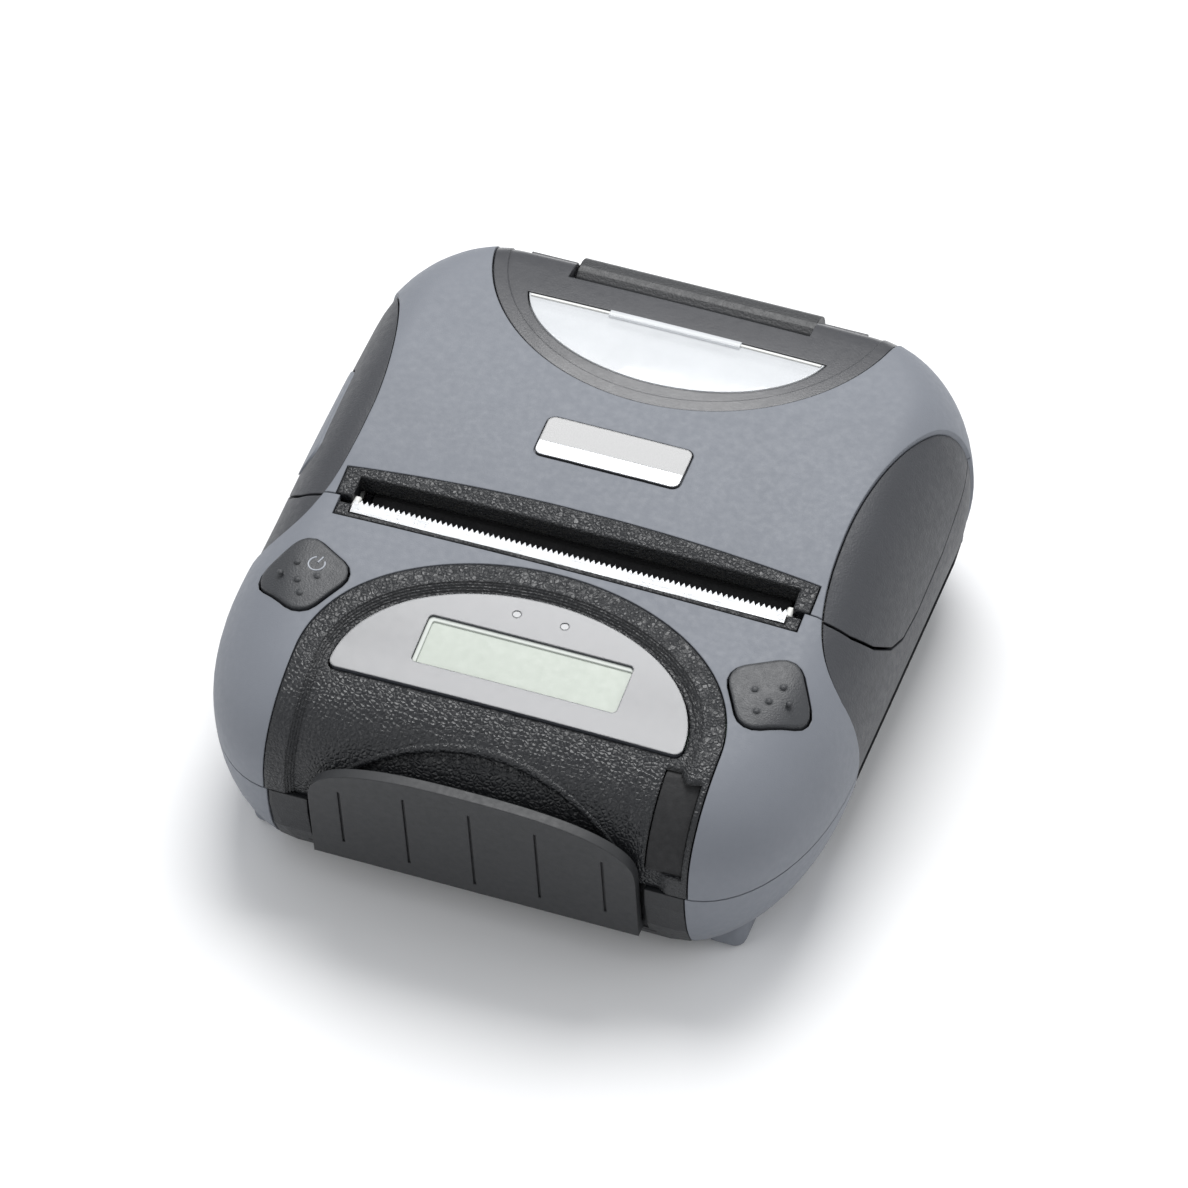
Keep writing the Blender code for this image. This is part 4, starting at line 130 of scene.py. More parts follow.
# Display module and its two lamps
LCD_HALF_WIDTH = LENS_HALF_WIDTH - 13.8 * MM
LCD_REAR_Y = BLADE_Y - 19.7 * MM
LCD_FRONT_Y = BLADE_Y - 30.0 * MM
LAMP_RADIUS = 0.8 * MM
LAMP_HEIGHT = 2.0 * MM
LAMP_XS = (-4.5 * MM, 4.5 * MM)
LAMP_Y = BLADE_Y - 15.2 * MM

# Key buttons, rounded squares turned to follow the corner lobes
BUTTON_X = HALF_WIDTH - 14.9 * MM
BUTTON_Y = BLADE_Y - 18.1 * MM
BUTTON_SIDE = 13.2 * MM
BUTTON_CORNER = 3.6 * MM
BUTTON_TURN = 30.0 * DEG
BUTTON_PROUD = 0.5 * MM
BUTTON_GAP = 0.45 * MM
BUTTON_SKIRT = 3.2 * MM

# Paper slot, tear blade and the lips on both sides
SLOT_HALF_WIDTH = HALF_WIDTH - 17.0 * MM
SLOT_FRONT_Y = BLADE_Y - 0.6 * MM
SLOT_REAR_Y = BLADE_Y + 5.4 * MM
LIP_HALF_WIDTH = SLOT_HALF_WIDTH + 3.0 * MM
LIP_END_REACH = 1.4 * MM
LIP_CROWN_REACH = 3.6 * MM
SLOT_FRAME_FRONT_Y = BLADE_Y - 3.2 * MM
SLOT_FRAME_HALF_WIDTH = SLOT_HALF_WIDTH + 2.0 * MM
BLADE_HALF_WIDTH = SLOT_HALF_WIDTH - 0.6 * MM
BLADE_STRIP_DEPTH = 1.9 * MM
BLADE_THICKNESS = 0.5 * MM
FRAME_DEPTH = 3.4 * MM

# Name plate on the lid
PLATE_HALF_LENGTH = 13.7 * MM
PLATE_HALF_HEIGHT = 4.6 * MM
PLATE_CORNER = 1.4 * MM
PLATE_Y = BLADE_Y + 23.5 * MM
PLATE_PROUD = 0.25 * MM
PLATE_SINK = 0.9 * MM

# Rear panel of the lid and its window
REAR_PANEL_CENTRE_Y = BLADE_Y + 73.2 * MM
REAR_PANEL_HALF_WIDTH = HALF_WIDTH - 19.8 * MM
REAR_PANEL_LENGTH = 36.4 * MM
WINDOW_CENTRE_Y = BLADE_Y + 62.0 * MM
WINDOW_HALF_WIDTH = REAR_PANEL_HALF_WIDTH - 9.4 * MM
WINDOW_LENGTH = 19.8 * MM
WINDOW_CHORD_Y = BLADE_Y + 58.2 * MM
WINDOW_LIP = 1.5 * MM
LINER_WALL = 1.4 * MM
LINER_HALF_WIDTH = SLOT_HALF_WIDTH - 0.6 * MM

# Lid hinge at the rear, as places in the part's frame
HINGE_Y = BLADE_Y + 70.3 * MM
HINGE_Z = BLADE_Z - 4.7 * MM
HINGE_BARREL_RADIUS = 5.0 * MM
HINGE_KNUCKLE_RADIUS = 3.4 * MM
HINGE_SWEEP_RADIUS = 8.8 * MM
HINGE_PIN_RADIUS = 1.25 * MM
HINGE_TOWER_HALF_WIDTH = 23.0 * MM
HINGE_KNUCKLE_WIDTH = 9.0 * MM
NOTCH_FRONT_Y = HINGE_Y - HINGE_BARREL_RADIUS - 2 * GAP

# Case wall, the swipe recess in front, and the corner bumpers with their feet
CASE_INNER_STEP = 2.1 * MM
SWIPE_WALL_Y = BLADE_Y - 46.6 * MM
SWIPE_HALF_WIDTH = ARCH_HALF_WIDTH - 7.9 * MM
SWIPE_TOP_CENTRE_Z = BLADE_Z - 9.0 * MM
SWIPE_ARCH_BASE_Z = BLADE_Z - 24.4 * MM
SWIPE_ARCH_HALF_WIDTH = SWIPE_HALF_WIDTH - 3.2 * MM
SWIPE_RECESS = 1.6 * MM
FOOT_INNER_X = HALF_WIDTH - 19.4 * MM
FOOT_OUTER_X = HALF_WIDTH - 11.8 * MM
FOOT_FRONT_Y = BLADE_Y - 39.6 * MM
FOOT_REAR_Y = BLADE_Y - 28.4 * MM
FOOT_TOP_Z = 7.0 * MM
FOOT_ROUND = 2.2 * MM
BUMPER_FRONT_REAR_Y = BLADE_Y - 11.6 * MM
BUMPER_REAR_FRONT_Y = BLADE_Y + 56.0 * MM
REAR_FOOT_FRONT_Y = BLADE_Y + 58.0 * MM
REAR_FOOT_REAR_Y = BLADE_Y + 69.0 * MM

# Card guide plate in front, leaning outwards
GUIDE_HALF_WIDTH = SWIPE_HALF_WIDTH - 1.0 * MM
GUIDE_BOTTOM_Z = BLADE_Z - 37.8 * MM
GUIDE_SHOULDER_Z = BLADE_Z - 22.0 * MM
GUIDE_CROWN_Z = BLADE_Z - 9.4 * MM
GUIDE_BOTTOM_Y = BLADE_Y - 49.6 * MM
GUIDE_LEAN = 8.0 * DEG
GUIDE_THICKNESS = 2.0 * MM
GUIDE_GROOVE_WIDTH = 0.5 * MM
GUIDE_GROOVE_DEPTH = 0.5 * MM
GUIDE_GROOVE_TOP_DROP = 4.5 * MM
GUIDE_GROOVE_BOTTOM_RISE = 5.0 * MM
GUIDE_GROOVE_PITCH = 12.3 * MM
GUIDE_GROOVE_COUNT = 5
GUIDE_FLANGE = 2.2 * MM

# Port cover and the knuckle at its lower edge
PORT_INNER_X = ARCH_HALF_WIDTH - 7.9 * MM
PORT_OUTER_X = ARCH_HALF_WIDTH - 1.3 * MM
PORT_TOP_Z = BLADE_Z - 6.6 * MM
PORT_BOTTOM_Z = BLADE_Z - 19.6 * MM
PORT_THICKNESS = 1.4 * MM
PORT_KNUCKLE_RADIUS = 0.9 * MM

# Platen roller on the lid, its brackets, and the place of the side plates in the base
PLATEN_Y = BLADE_Y + 7.5 * MM
PLATEN_Z = BLADE_Z - 9.5 * MM
PLATEN_HALF_LENGTH = SLOT_HALF_WIDTH - 2.0 * MM
PLATEN_SHAFT_RADIUS = 1.5 * MM
BRACKET_INNER_X = PLATEN_HALF_LENGTH + 0.6 * MM
BRACKET_THICKNESS = 1.2 * MM
BRACKET_RADIUS = 3.4 * MM
BEARING_INNER_X = BRACKET_INNER_X + 1.8 * MM
CHASSIS_PLATE_X = BEARING_INNER_X + 0.1 * MM

# Latch shaft across the lid with two hooks, and the button that turns it
LATCH_Y = BLADE_Y + 18.5 * MM
LATCH_Z = BLADE_Z - 8.6 * MM
LATCH_SHAFT_RADIUS = 1.2 * MM
LATCH_HOOK_X = CHASSIS_PLATE_X + 2.8 * MM
LATCH_HOOK_THICKNESS = 1.6 * MM
LATCH_HOOK_WIDTH = 3.0 * MM
OPEN_BUTTON_Y = BLADE_Y + 24.0 * MM
OPEN_BUTTON_Z = BLADE_Z - 8.2 * MM
OPEN_BUTTON_HALF_LENGTH = 12.5 * MM
OPEN_BUTTON_HALF_HEIGHT = 4.2 * MM
OPEN_BUTTON_GAP = 0.5 * MM
OPEN_BUTTON_DEPTH = 2.6 * MM
OPEN_BUTTON_TRAVEL = 2.0 * MM

# Screw bosses of the case
BOSS_RADIUS = 3.6 * MM
BOSS_X = HALF_WIDTH - 12.4 * MM
BOSS_YS = (BLADE_Y - 21.5 * MM, BLADE_Y + 53.0 * MM)

# Reach of cutting blocks past the body
FAR = HALF_WIDTH + OVERRUN
TOP = 2 * BLADE_Z
PANEL_YS = (FRONT_Y - OVERRUN, ARCH_CENTRE_Y)

# Fine forms of the front panel and the screen
BAND_SLOPE = 1.8 * MM
BAND_STEPS = 4
RIM_WIDTH = 0.9 * MM
RIM_PROUD = 0.25 * MM
SCREEN_SINK = 0.45 * MM
SCREEN_CORNER = 0.9 * MM
SCREEN_BEZEL = 0.9 * MM
GLASS_SINK_SHARE = 1.6
GLASS_DEPTH_SHARE = 1.5

# Fine forms of the lid, and the power of the guide plate's crown
LIP_PROUD = 0.15 * MM
LEDGE_HALF_WIDTH = 12.6 * MM
LEDGE_DEPTH = 1.5 * MM
LEDGE_PROUD = 0.5 * MM
# Depth of the white strip that is a painted highlight along the window's rear chord
HIGHLIGHT_STRIP_DEPTH = 0.8 * MM
PLATE_BAND_SHARE = 0.30
PLATE_SINK_SHARE = 0.8
PANEL_FRAME_BAND = 2.6 * MM
GUIDE_CROWN_POWER = 2.6

# Raised dots and the on-off symbol on the keys; the dots' places are measured from each key's middle
DOT_RADIUS = 0.62 * MM
DOT_PROUD = 0.32 * MM
DOT_PLACES_MM = (
    (-2.6, 0.6),
    (2.4, 1.1),
    (-2.9, -3.1),
    (0.5, -1.9),
    (3.0, -3.4),
)
RING_RADIUS = 1.5 * MM
RING_LINE = 0.16 * MM
RING_PLACE_X = RING_LINE * 4
RING_PLACE_Y = 2.7 * MM
RING_OPENING = 38.0 * DEG
RING_TURN = -20.0 * DEG
RING_STEPS = 28
RING_BAR_SHARES = (0.2, 1.25)

# Mesh fineness of the looks
CORNER_STEPS = 16
STRAIGHT_STEPS = 8
ROLL_STEPS = 14
CAP_SHARES = (0.96, 0.90, 0.83, 0.75, 0.66, 0.56, 0.45, 0.32, 0.16)
ROUND_SIDES = 64
ARC_STEPS = 64
SHARP_ANGLE = 32.0 * DEG
KEY_CORNER_STEPS = 4
LENS_CORNER_STEPS = 6
OUTLINE_CORNER_STEPS = 8
SMALL_ROUND_SIDES = 24
BOSS_SIDES = 32
SWEEP_SIDES = 48


def linked(name, data):
    thing = bpy.data.objects.new(name, data)
    bpy.context.scene.collection.objects.link(thing)
    return thing


def mesh_from(name, bm):
    mesh = bpy.data.meshes.new(name)
    bm.to_mesh(mesh)
    bm.free()
    return linked(name, mesh)


def mesh_object(name, bm):
    bmesh.ops.recalc_face_normals(bm, faces=bm.faces)
    return mesh_from(name, bm)


def box(name, low, high):
    bm = bmesh.new()
    bmesh.ops.create_cube(bm, size=1.0)
    bmesh.ops.scale(bm, vec=[h - l for l, h in zip(low, high)], verts=bm.verts)
    bmesh.ops.translate(bm, vec=[(h + l) / 2 for l, h in zip(low, high)], verts=bm.verts)
    return mesh_object(name, bm)


def rounded_box(name, low, high, radius, segments=6):
    thing = box(name, low, high)
    bm = bmesh.new()
    bm.from_mesh(thing.data)
    bmesh.ops.bevel(bm, geom=bm.edges[:], offset=radius, segments=segments, affect="EDGES", profile=0.5)
    bm.to_mesh(thing.data)
    bm.free()
    return thing


def cylinder(name, radius, start, end, sides=ROUND_SIDES):
    """A round bar between two points."""
    start = Vector(start)
    end = Vector(end)
    turn = (end - start).to_track_quat("Z", "Y").to_matrix().to_4x4()
    bm = bmesh.new()
    place = Matrix.Translation((start + end) / 2) @ turn
    length = (end - start).length
    bmesh.ops.create_cone(
        bm, cap_ends=True, segments=sides, radius1=radius, radius2=radius, depth=length, matrix=place
    )
    return mesh_object(name, bm)


def bar_along_x(radius, xs, y, z, sides=ROUND_SIDES):
    return cylinder("bar", radius, (xs[0], y, z), (xs[1], y, z), sides)


def prism(name, outline, axis, low, high):
    """An outline of pairs, pushed from low to high along an axis; pairs are the other two axes in order."""
    bm = bmesh.new()
    verts = []
    for a, b in outline:
        place = {"X": (low, a, b), "Y": (a, low, b), "Z": (a, b, low)}[axis]
        verts.append(bm.verts.new(place))
    face = bm.faces.new(verts)
    push = {"X": (high - low, 0, 0), "Y": (0, high - low, 0), "Z": (0, 0, high - low)}[axis]
    grown = bmesh.ops.extrude_face_region(bm, geom=[face])
    moved = [v for v in grown["geom"] if isinstance(v, bmesh.types.BMVert)]
    bmesh.ops.translate(bm, vec=push, verts=moved)
    return mesh_object(name, bm)


def upright(outline, low=WIDEST_Z):
    """An outline in plan, pushed up from a height to above the body."""
    return prism("upright", outline, "Z", low, TOP)


def across(half, ys, zs):
    """A block across the middle, with its limits along Y and along Z."""
    return box("block", (-half, ys[0], zs[0]), (half, ys[1], zs[1]))


def combine(thing, other, operation):
    """Apply an exact Boolean at once, and drop the other solid."""
    step = thing.modifiers.new(operation.lower(), "BOOLEAN")
    step.operation = operation
    step.solver = "EXACT"
    step.object = other
    graph = bpy.context.evaluated_depsgraph_get()
    result = bpy.data.meshes.new_from_object(thing.evaluated_get(graph))
    thing.modifiers.remove(step)
    thing.data = result
    bpy.data.objects.remove(other, do_unlink=True)
    return thing


def cut(thing, other):
    return combine(thing, other, "DIFFERENCE")


def join(thing, other):
    return combine(thing, other, "UNION")


def keep(thing, other):
    return combine(thing, other, "INTERSECT")


def crown_height(y):
    """Height of the top's middle line at y, smoothed between the named points."""
    points = [(BLADE_Y + a * MM, BLADE_Z + b * MM) for a, b in CROWN_POINTS_MM]
    if y <= points[0][0]:
        return points[0][1]
    for index in range(len(points) - 1):
        y0, z0 = points[index]
        y1, z1 = points[index + 1]
        if y <= y1:
            before = points[max(index - 1, 0)]
            after = points[min(index + 2, len(points) - 1)]
            slope0 = (z1 - before[1]) / (y1 - before[0])
            slope1 = (after[1] - z0) / (after[0] - y0)
            t = (y - y0) / (y1 - y0)
            span = y1 - y0
            return (
                (2 * t**3 - 3 * t**2 + 1) * z0
                + (t**3 - 2 * t**2 + t) * span * slope0
                + (3 * t**2 - 2 * t**3) * z1
                + (t**3 - t**2) * span * slope1
            )
    return points[-1][1]


def angles(count, degrees):
    """Angles from zero in even steps, both ends included."""
    return [index / count * degrees * DEG for index in range(count + 1)]


def plan_outline(half_width, front, rear, front_x, front_y, rear_x, rear_y):
    """One ring of the body in plan, anticlockwise from the front's middle."""
    right = []
    for step in range(STRAIGHT_STEPS):
        right.append(((half_width - front_x) * step / STRAIGHT_STEPS, front))
    for angle in angles(CORNER_STEPS, 90.0)[:-1]:
        x = half_width - front_x + front_x * math.sin(angle)
        y = front + front_y - front_y * math.cos(angle)
        right.append((x, y))
    side_low = front + front_y
    side_high = rear - rear_y
    for step in range(STRAIGHT_STEPS):
        right.append((half_width, side_low + (side_high - side_low) * step / STRAIGHT_STEPS))
    for angle in angles(CORNER_STEPS, 90.0)[:-1]:
        x = half_width - rear_x + rear_x * math.cos(angle)
        y = rear - rear_y + rear_y * math.sin(angle)
        right.append((x, y))
    for step in range(STRAIGHT_STEPS + 1):
        right.append(((half_width - rear_x) * (1 - step / STRAIGHT_STEPS), rear))
    left = [(-x, y) for x, y in reversed(right[1:-1])]
    return right + left


def body_ring(angle, step, upper):
    """The ring at a roll angle from the widest level, moved inwards by a step."""
    tuck = 1 - math.cos(angle)
    side = UPPER_ROLL_SIDE if upper else LOWER_ROLL_SIDE
    front = UPPER_ROLL_FRONT if upper else LOWER_ROLL_FRONT
    rear = UPPER_ROLL_REAR if upper else LOWER_ROLL_REAR
    front_share = 1 - FRONT_CORNER_SHARE * tuck
    rear_share = 1 - REAR_CORNER_SHARE * tuck
    return plan_outline(
        HALF_WIDTH - step - (side - step) * tuck,
        FRONT_Y + step + (front - step) * tuck,
        REAR_Y - step - (rear - step) * tuck,
        (FRONT_CORNER_X - step) * front_share,
        (FRONT_CORNER_Y - step) * front_share,
        (REAR_CORNER_X - step) * rear_share,
        (REAR_CORNER_Y - step) * rear_share,
    )


def top_height(x, y, step=0.0):
    drop = CROWN_SIDE_DROP * (x / (HALF_WIDTH - UPPER_ROLL_SIDE)) ** 2
    return crown_height(y) - drop - step


def add_body(bm, step):
    """Add the closed body surface to a bmesh, moved inwards all over by a step."""
    floor_z = CASE_UNDERSIDE_Z + step
    rings = []
    for share in CAP_SHARES[::-1]:
        rings.append([(x * share, y * share, floor_z) for x, y in body_ring(90.0 * DEG, step, False)])
    for angle in angles(ROLL_STEPS, 90.0)[:0:-1]:
        z = WIDEST_Z - (WIDEST_Z - floor_z) * math.sin(angle)
        rings.append([(x, y, z) for x, y in body_ring(angle, step, False)])
    for angle in angles(ROLL_STEPS, 90.0):
        rise = math.sin(angle)
        ring = body_ring(angle, step, True)
        rings.append([(x, y, WIDEST_Z + (top_height(x, y, step) - WIDEST_Z) * rise) for x, y in ring])
    for share in CAP_SHARES:
        ring = [(x * share, y * share) for x, y in body_ring(90.0 * DEG, step, True)]
        rings.append([(x, y, top_height(x, y, step)) for x, y in ring])
    loops = [[bm.verts.new(place) for place in ring] for ring in rings]
    made = []
    for lower, higher in zip(loops, loops[1:]):
        for index in range(len(lower)):
            after = (index + 1) % len(lower)
            made.append(bm.faces.new((lower[index], lower[after], higher[after], higher[index])))
    for loop, height in ((loops[0], floor_z), (loops[-1], top_height(0.0, 0.0, step))):
        hub = bm.verts.new((0.0, 0.0, height))
        for index in range(len(loop)):
            made.append(bm.faces.new((loop[index], loop[(index + 1) % len(loop)], hub)))
    return made


def skin(name, outer_step, inner_step):
    """A hollow layer of the body between two steps."""
    bm = bmesh.new()
    outside = add_body(bm, outer_step)
    bmesh.ops.recalc_face_normals(bm, faces=outside)
    inside = add_body(bm, inner_step)
    bmesh.ops.recalc_face_normals(bm, faces=inside)
    bmesh.ops.reverse_faces(bm, faces=inside)
    bmesh.ops.triangulate(bm, faces=bm.faces[:])
    return mesh_from(name, bm)


def trimmed(name, outer_step, inner_step, outline):
    """The part of a layer of the body inside an outline in plan."""
    return keep(skin(name, outer_step, inner_step), upright(outline))


def half_ellipse(centre_y, half_width, length, towards_front):
    """Points of half an ellipse, from its right end to its left end."""
    sign = -1.0 if towards_front else 1.0
    points = []
    for angle in angles(ARC_STEPS, 180.0):
        points.append((half_width * math.cos(angle), centre_y + sign * length * math.sin(angle)))
    return points


def arch_outline(grow):
    """The front panel in plan: half an ellipse behind, straight sides to past the front."""
    arc = half_ellipse(ARCH_CENTRE_Y, ARCH_HALF_WIDTH + grow, ARCH_LENGTH + grow, False)
    corner = ARCH_HALF_WIDTH + grow
    return arc + [(-corner, FRONT_Y - OVERRUN), (corner, FRONT_Y - OVERRUN)]


def grip_outline(side, grow):
    """One side grip in plan, out past the body's side."""
    points = []
    for index in range(ARC_STEPS + 1):
        share = index / ARC_STEPS * 2 - 1
        reach = GRIP_REAR_REACH if share > 0 else GRIP_FRONT_REACH
        power = GRIP_REAR_POWER if share > 0 else GRIP_FRONT_POWER
        depth = (1 - abs(share) ** power) ** (1 / power) * (GRIP_DEPTH + grow)
        y = GRIP_CENTRE_Y + share * (reach + grow)
        points.append((side * (GRIP_CENTRE_X - depth), y))
    points.append((side * FAR, points[-1][1]))
    points.append((side * FAR, points[0][1]))
    return points


def grip_region(side, grow, low=0.0):
    return upright(grip_outline(side, grow), low)


def lid_side_outline(shift):
    """The lid's share of the body from the side, its split curve moved forwards and down by a shift."""
    points = [(BLADE_Y + a * MM - shift, BLADE_Z + b * MM - shift) for a, b in LID_SPLIT_POINTS_MM]
    last_z = points[-1][1]
    top = points[0][1] + shift
    return [(points[0][0], top)] + points[1:] + [(REAR_Y + 2 * OVERRUN, last_z), (REAR_Y + 2 * OVERRUN, top)]


def lid_region(shift):
    return prism("lid_region", lid_side_outline(shift), "X", -FAR, FAR)


def lip_outline(grow):
    """The lip round the rear of the paper slot in plan, thickest in the middle."""
    points = [(LIP_HALF_WIDTH + grow, BLADE_Y - OVERRUN)]
    for index in range(ARC_STEPS + 1):
        share = 1 - index / ARC_STEPS * 2
        crown = LIP_END_REACH + (LIP_CROWN_REACH - LIP_END_REACH) * (1 - share**2)
        points.append(((LIP_HALF_WIDTH + grow) * share, SLOT_REAR_Y + crown + grow))
    points.append((-LIP_HALF_WIDTH - grow, BLADE_Y - OVERRUN))
    return points


def rounded_square(turn, x, y, grow):
    """A key's square with round corners in plan, turned about its middle."""
    half = BUTTON_SIDE / 2 + grow
    radius = BUTTON_CORNER + grow
    points = []
    for quarter in range(4):
        for step in range(KEY_CORNER_STEPS + 1):
            angle = (quarter + step / KEY_CORNER_STEPS) * 90.0 * DEG
            centre = (quarter + 0.5) * 90.0 * DEG
            diagonal = (half - radius) * math.sqrt(2.0)
            px = diagonal * math.cos(centre) + radius * math.cos(angle)
            py = diagonal * math.sin(centre) + radius * math.sin(angle)
            turned_x = x + px * math.cos(turn) - py * math.sin(turn)
            turned_y = y + px * math.sin(turn) + py * math.cos(turn)
            points.append((turned_x, turned_y))
    return points


def button_region(side, grow):
    return upright(rounded_square(side * BUTTON_TURN, side * BUTTON_X, BUTTON_Y, grow))


# Rounding of piece edges, done by the shading
EDGE_ROUND = 0.35 * MM
EDGE_ROUND_WIDE = 0.9 * MM


class Recipe:
    """A small helper that adds nodes to one material and links them."""

    def __init__(self, name):
        self.made = bpy.data.materials.new(name)
        self.made.use_nodes = True
        self.nodes = self.made.node_tree.nodes
        self.links = self.made.node_tree.links
        self.shader = self.nodes["Principled BSDF"]
        self.place = self.nodes.new("ShaderNodeTexCoord").outputs["Object"]

    def node(self, kind, settings, inputs, values):
        made = self.nodes.new(kind)
        for key, value in settings.items():
            setattr(made, key, value)
        for key, value in values.items():
            made.inputs[key].default_value = value
        for key, source in inputs.items():
            self.links.new(source, made.inputs[key])
        return made

    def noise(self, scale, detail=3.0, roughness=0.55):
        values = {"Scale": scale, "Detail": detail, "Roughness": roughness}
        return self.node("ShaderNodeTexNoise", {}, {"Vector": self.place}, values).outputs["Fac"]

    def cells(self, scale):
        settings = {"feature": "DISTANCE_TO_EDGE"}
        made = self.node("ShaderNodeTexVoronoi", settings, {"Vector": self.place}, {"Scale": scale})
        return made.outputs["Distance"]

    def ramp(self, source, low, high, start, end):
        values = {"From Min": low, "From Max": high, "To Min": start, "To Max": end}
        return self.node("ShaderNodeMapRange", {}, {"Value": source}, values).outputs["Result"]

    def colours(self, factor, first, second):
        made = self.nodes.new("ShaderNodeMix")
        made.data_type = "RGBA"
        made.inputs[6].default_value = (*first, 1.0)
        made.inputs[7].default_value = (*second, 1.0)
        self.links.new(factor, made.inputs[0])
        return made.outputs[2]

    def bump(self, height, strength, distance, normal):
        values = {"Strength": strength, "Distance": distance}
        return self.node("ShaderNodeBump", {}, {"Height": height, "Normal": normal}, values).outputs["Normal"]

    def rounding(self, radius):
        return self.node("ShaderNodeBevel", {"samples": 6}, {}, {"Radius": radius}).outputs["Normal"]


def shaded(colour, share):
    return tuple(min(value * share, 1.0) for value in colour)


# How the shared look is mixed: clouds of tone, finer gloss, and the grain
CLOUD_SCALE = 60.0
CLOUD_RANGE_SHARES = (0.3, 0.7)
GLOSS_SPREAD_SHARE = 0.12
FINE_SCALE_SHARE = 12.0
COAT_ROUGHNESS_SHARE = 0.4
CELL_RANGE_SHARE = 0.35
FOLD_SCALE_SHARE = 0.9
BRUSH_STRETCH_SHARE = 0.03


def grained(recipe, kind, scale, strength, depth_mm, normal):
    """Lay a kind of grain on a normal: leather cells with folds, brushed lines, or plain sand."""
    depth = depth_mm * MM
    if kind == "leather":
        cells = recipe.ramp(recipe.cells(scale), 0.0, CELL_RANGE_SHARE, 0.0, 1.0)
        fold = recipe.noise(scale * FOLD_SCALE_SHARE, 4.0)
        normal = recipe.bump(cells, strength, depth, normal)
        return recipe.bump(fold, strength, depth, normal)
    if kind == "brushed":
        stretched = recipe.node("ShaderNodeMapping", {}, {"Vector": recipe.place}, {})
        stretched.inputs["Scale"].default_value = (BRUSH_STRETCH_SHARE, 1.0, 1.0)
        inputs = {"Vector": stretched.outputs["Vector"]}
        lines = recipe.node("ShaderNodeTexNoise", {}, inputs, {"Scale": scale})
        return recipe.bump(lines.outputs["Fac"], strength, depth, normal)
    return recipe.bump(recipe.noise(scale, 2.0), strength, depth, normal)


def surface(
    name, colour, roughness, grain, kind="sand", metallic=0.0, coat=0.0, edge=EDGE_ROUND, spread=0.08
):
    """A material with soft colour and gloss variation, a grain that gives its relief, and rounded edges."""
    recipe = Recipe(name)
    shader = recipe.shader
    low, high = CLOUD_RANGE_SHARES
    tone = recipe.ramp(recipe.noise(CLOUD_SCALE, 4.0), low, high, 0.0, 1.0)
    first = shaded(colour, 1.0 - spread)
    second = shaded(colour, 1.0 + spread)
    recipe.links.new(recipe.colours(tone, first, second), shader.inputs["Base Color"])
    fine = recipe.noise(CLOUD_SCALE * FINE_SCALE_SHARE, 3.0)
    least = roughness * (1.0 - GLOSS_SPREAD_SHARE)
    most = min(roughness * (1.0 + GLOSS_SPREAD_SHARE), 1.0)
    recipe.links.new(recipe.ramp(fine, low, high, least, most), shader.inputs["Roughness"])
    shader.inputs["Metallic"].default_value = metallic
    if coat > 0.0:
        shader.inputs["Coat Weight"].default_value = coat
        shader.inputs["Coat Roughness"].default_value = roughness * COAT_ROUGHNESS_SHARE
    normal = recipe.rounding(edge)
    if grain is not None:
        normal = grained(recipe, kind, *grain, normal)
    recipe.links.new(normal, shader.inputs["Normal"])
    return recipe.made
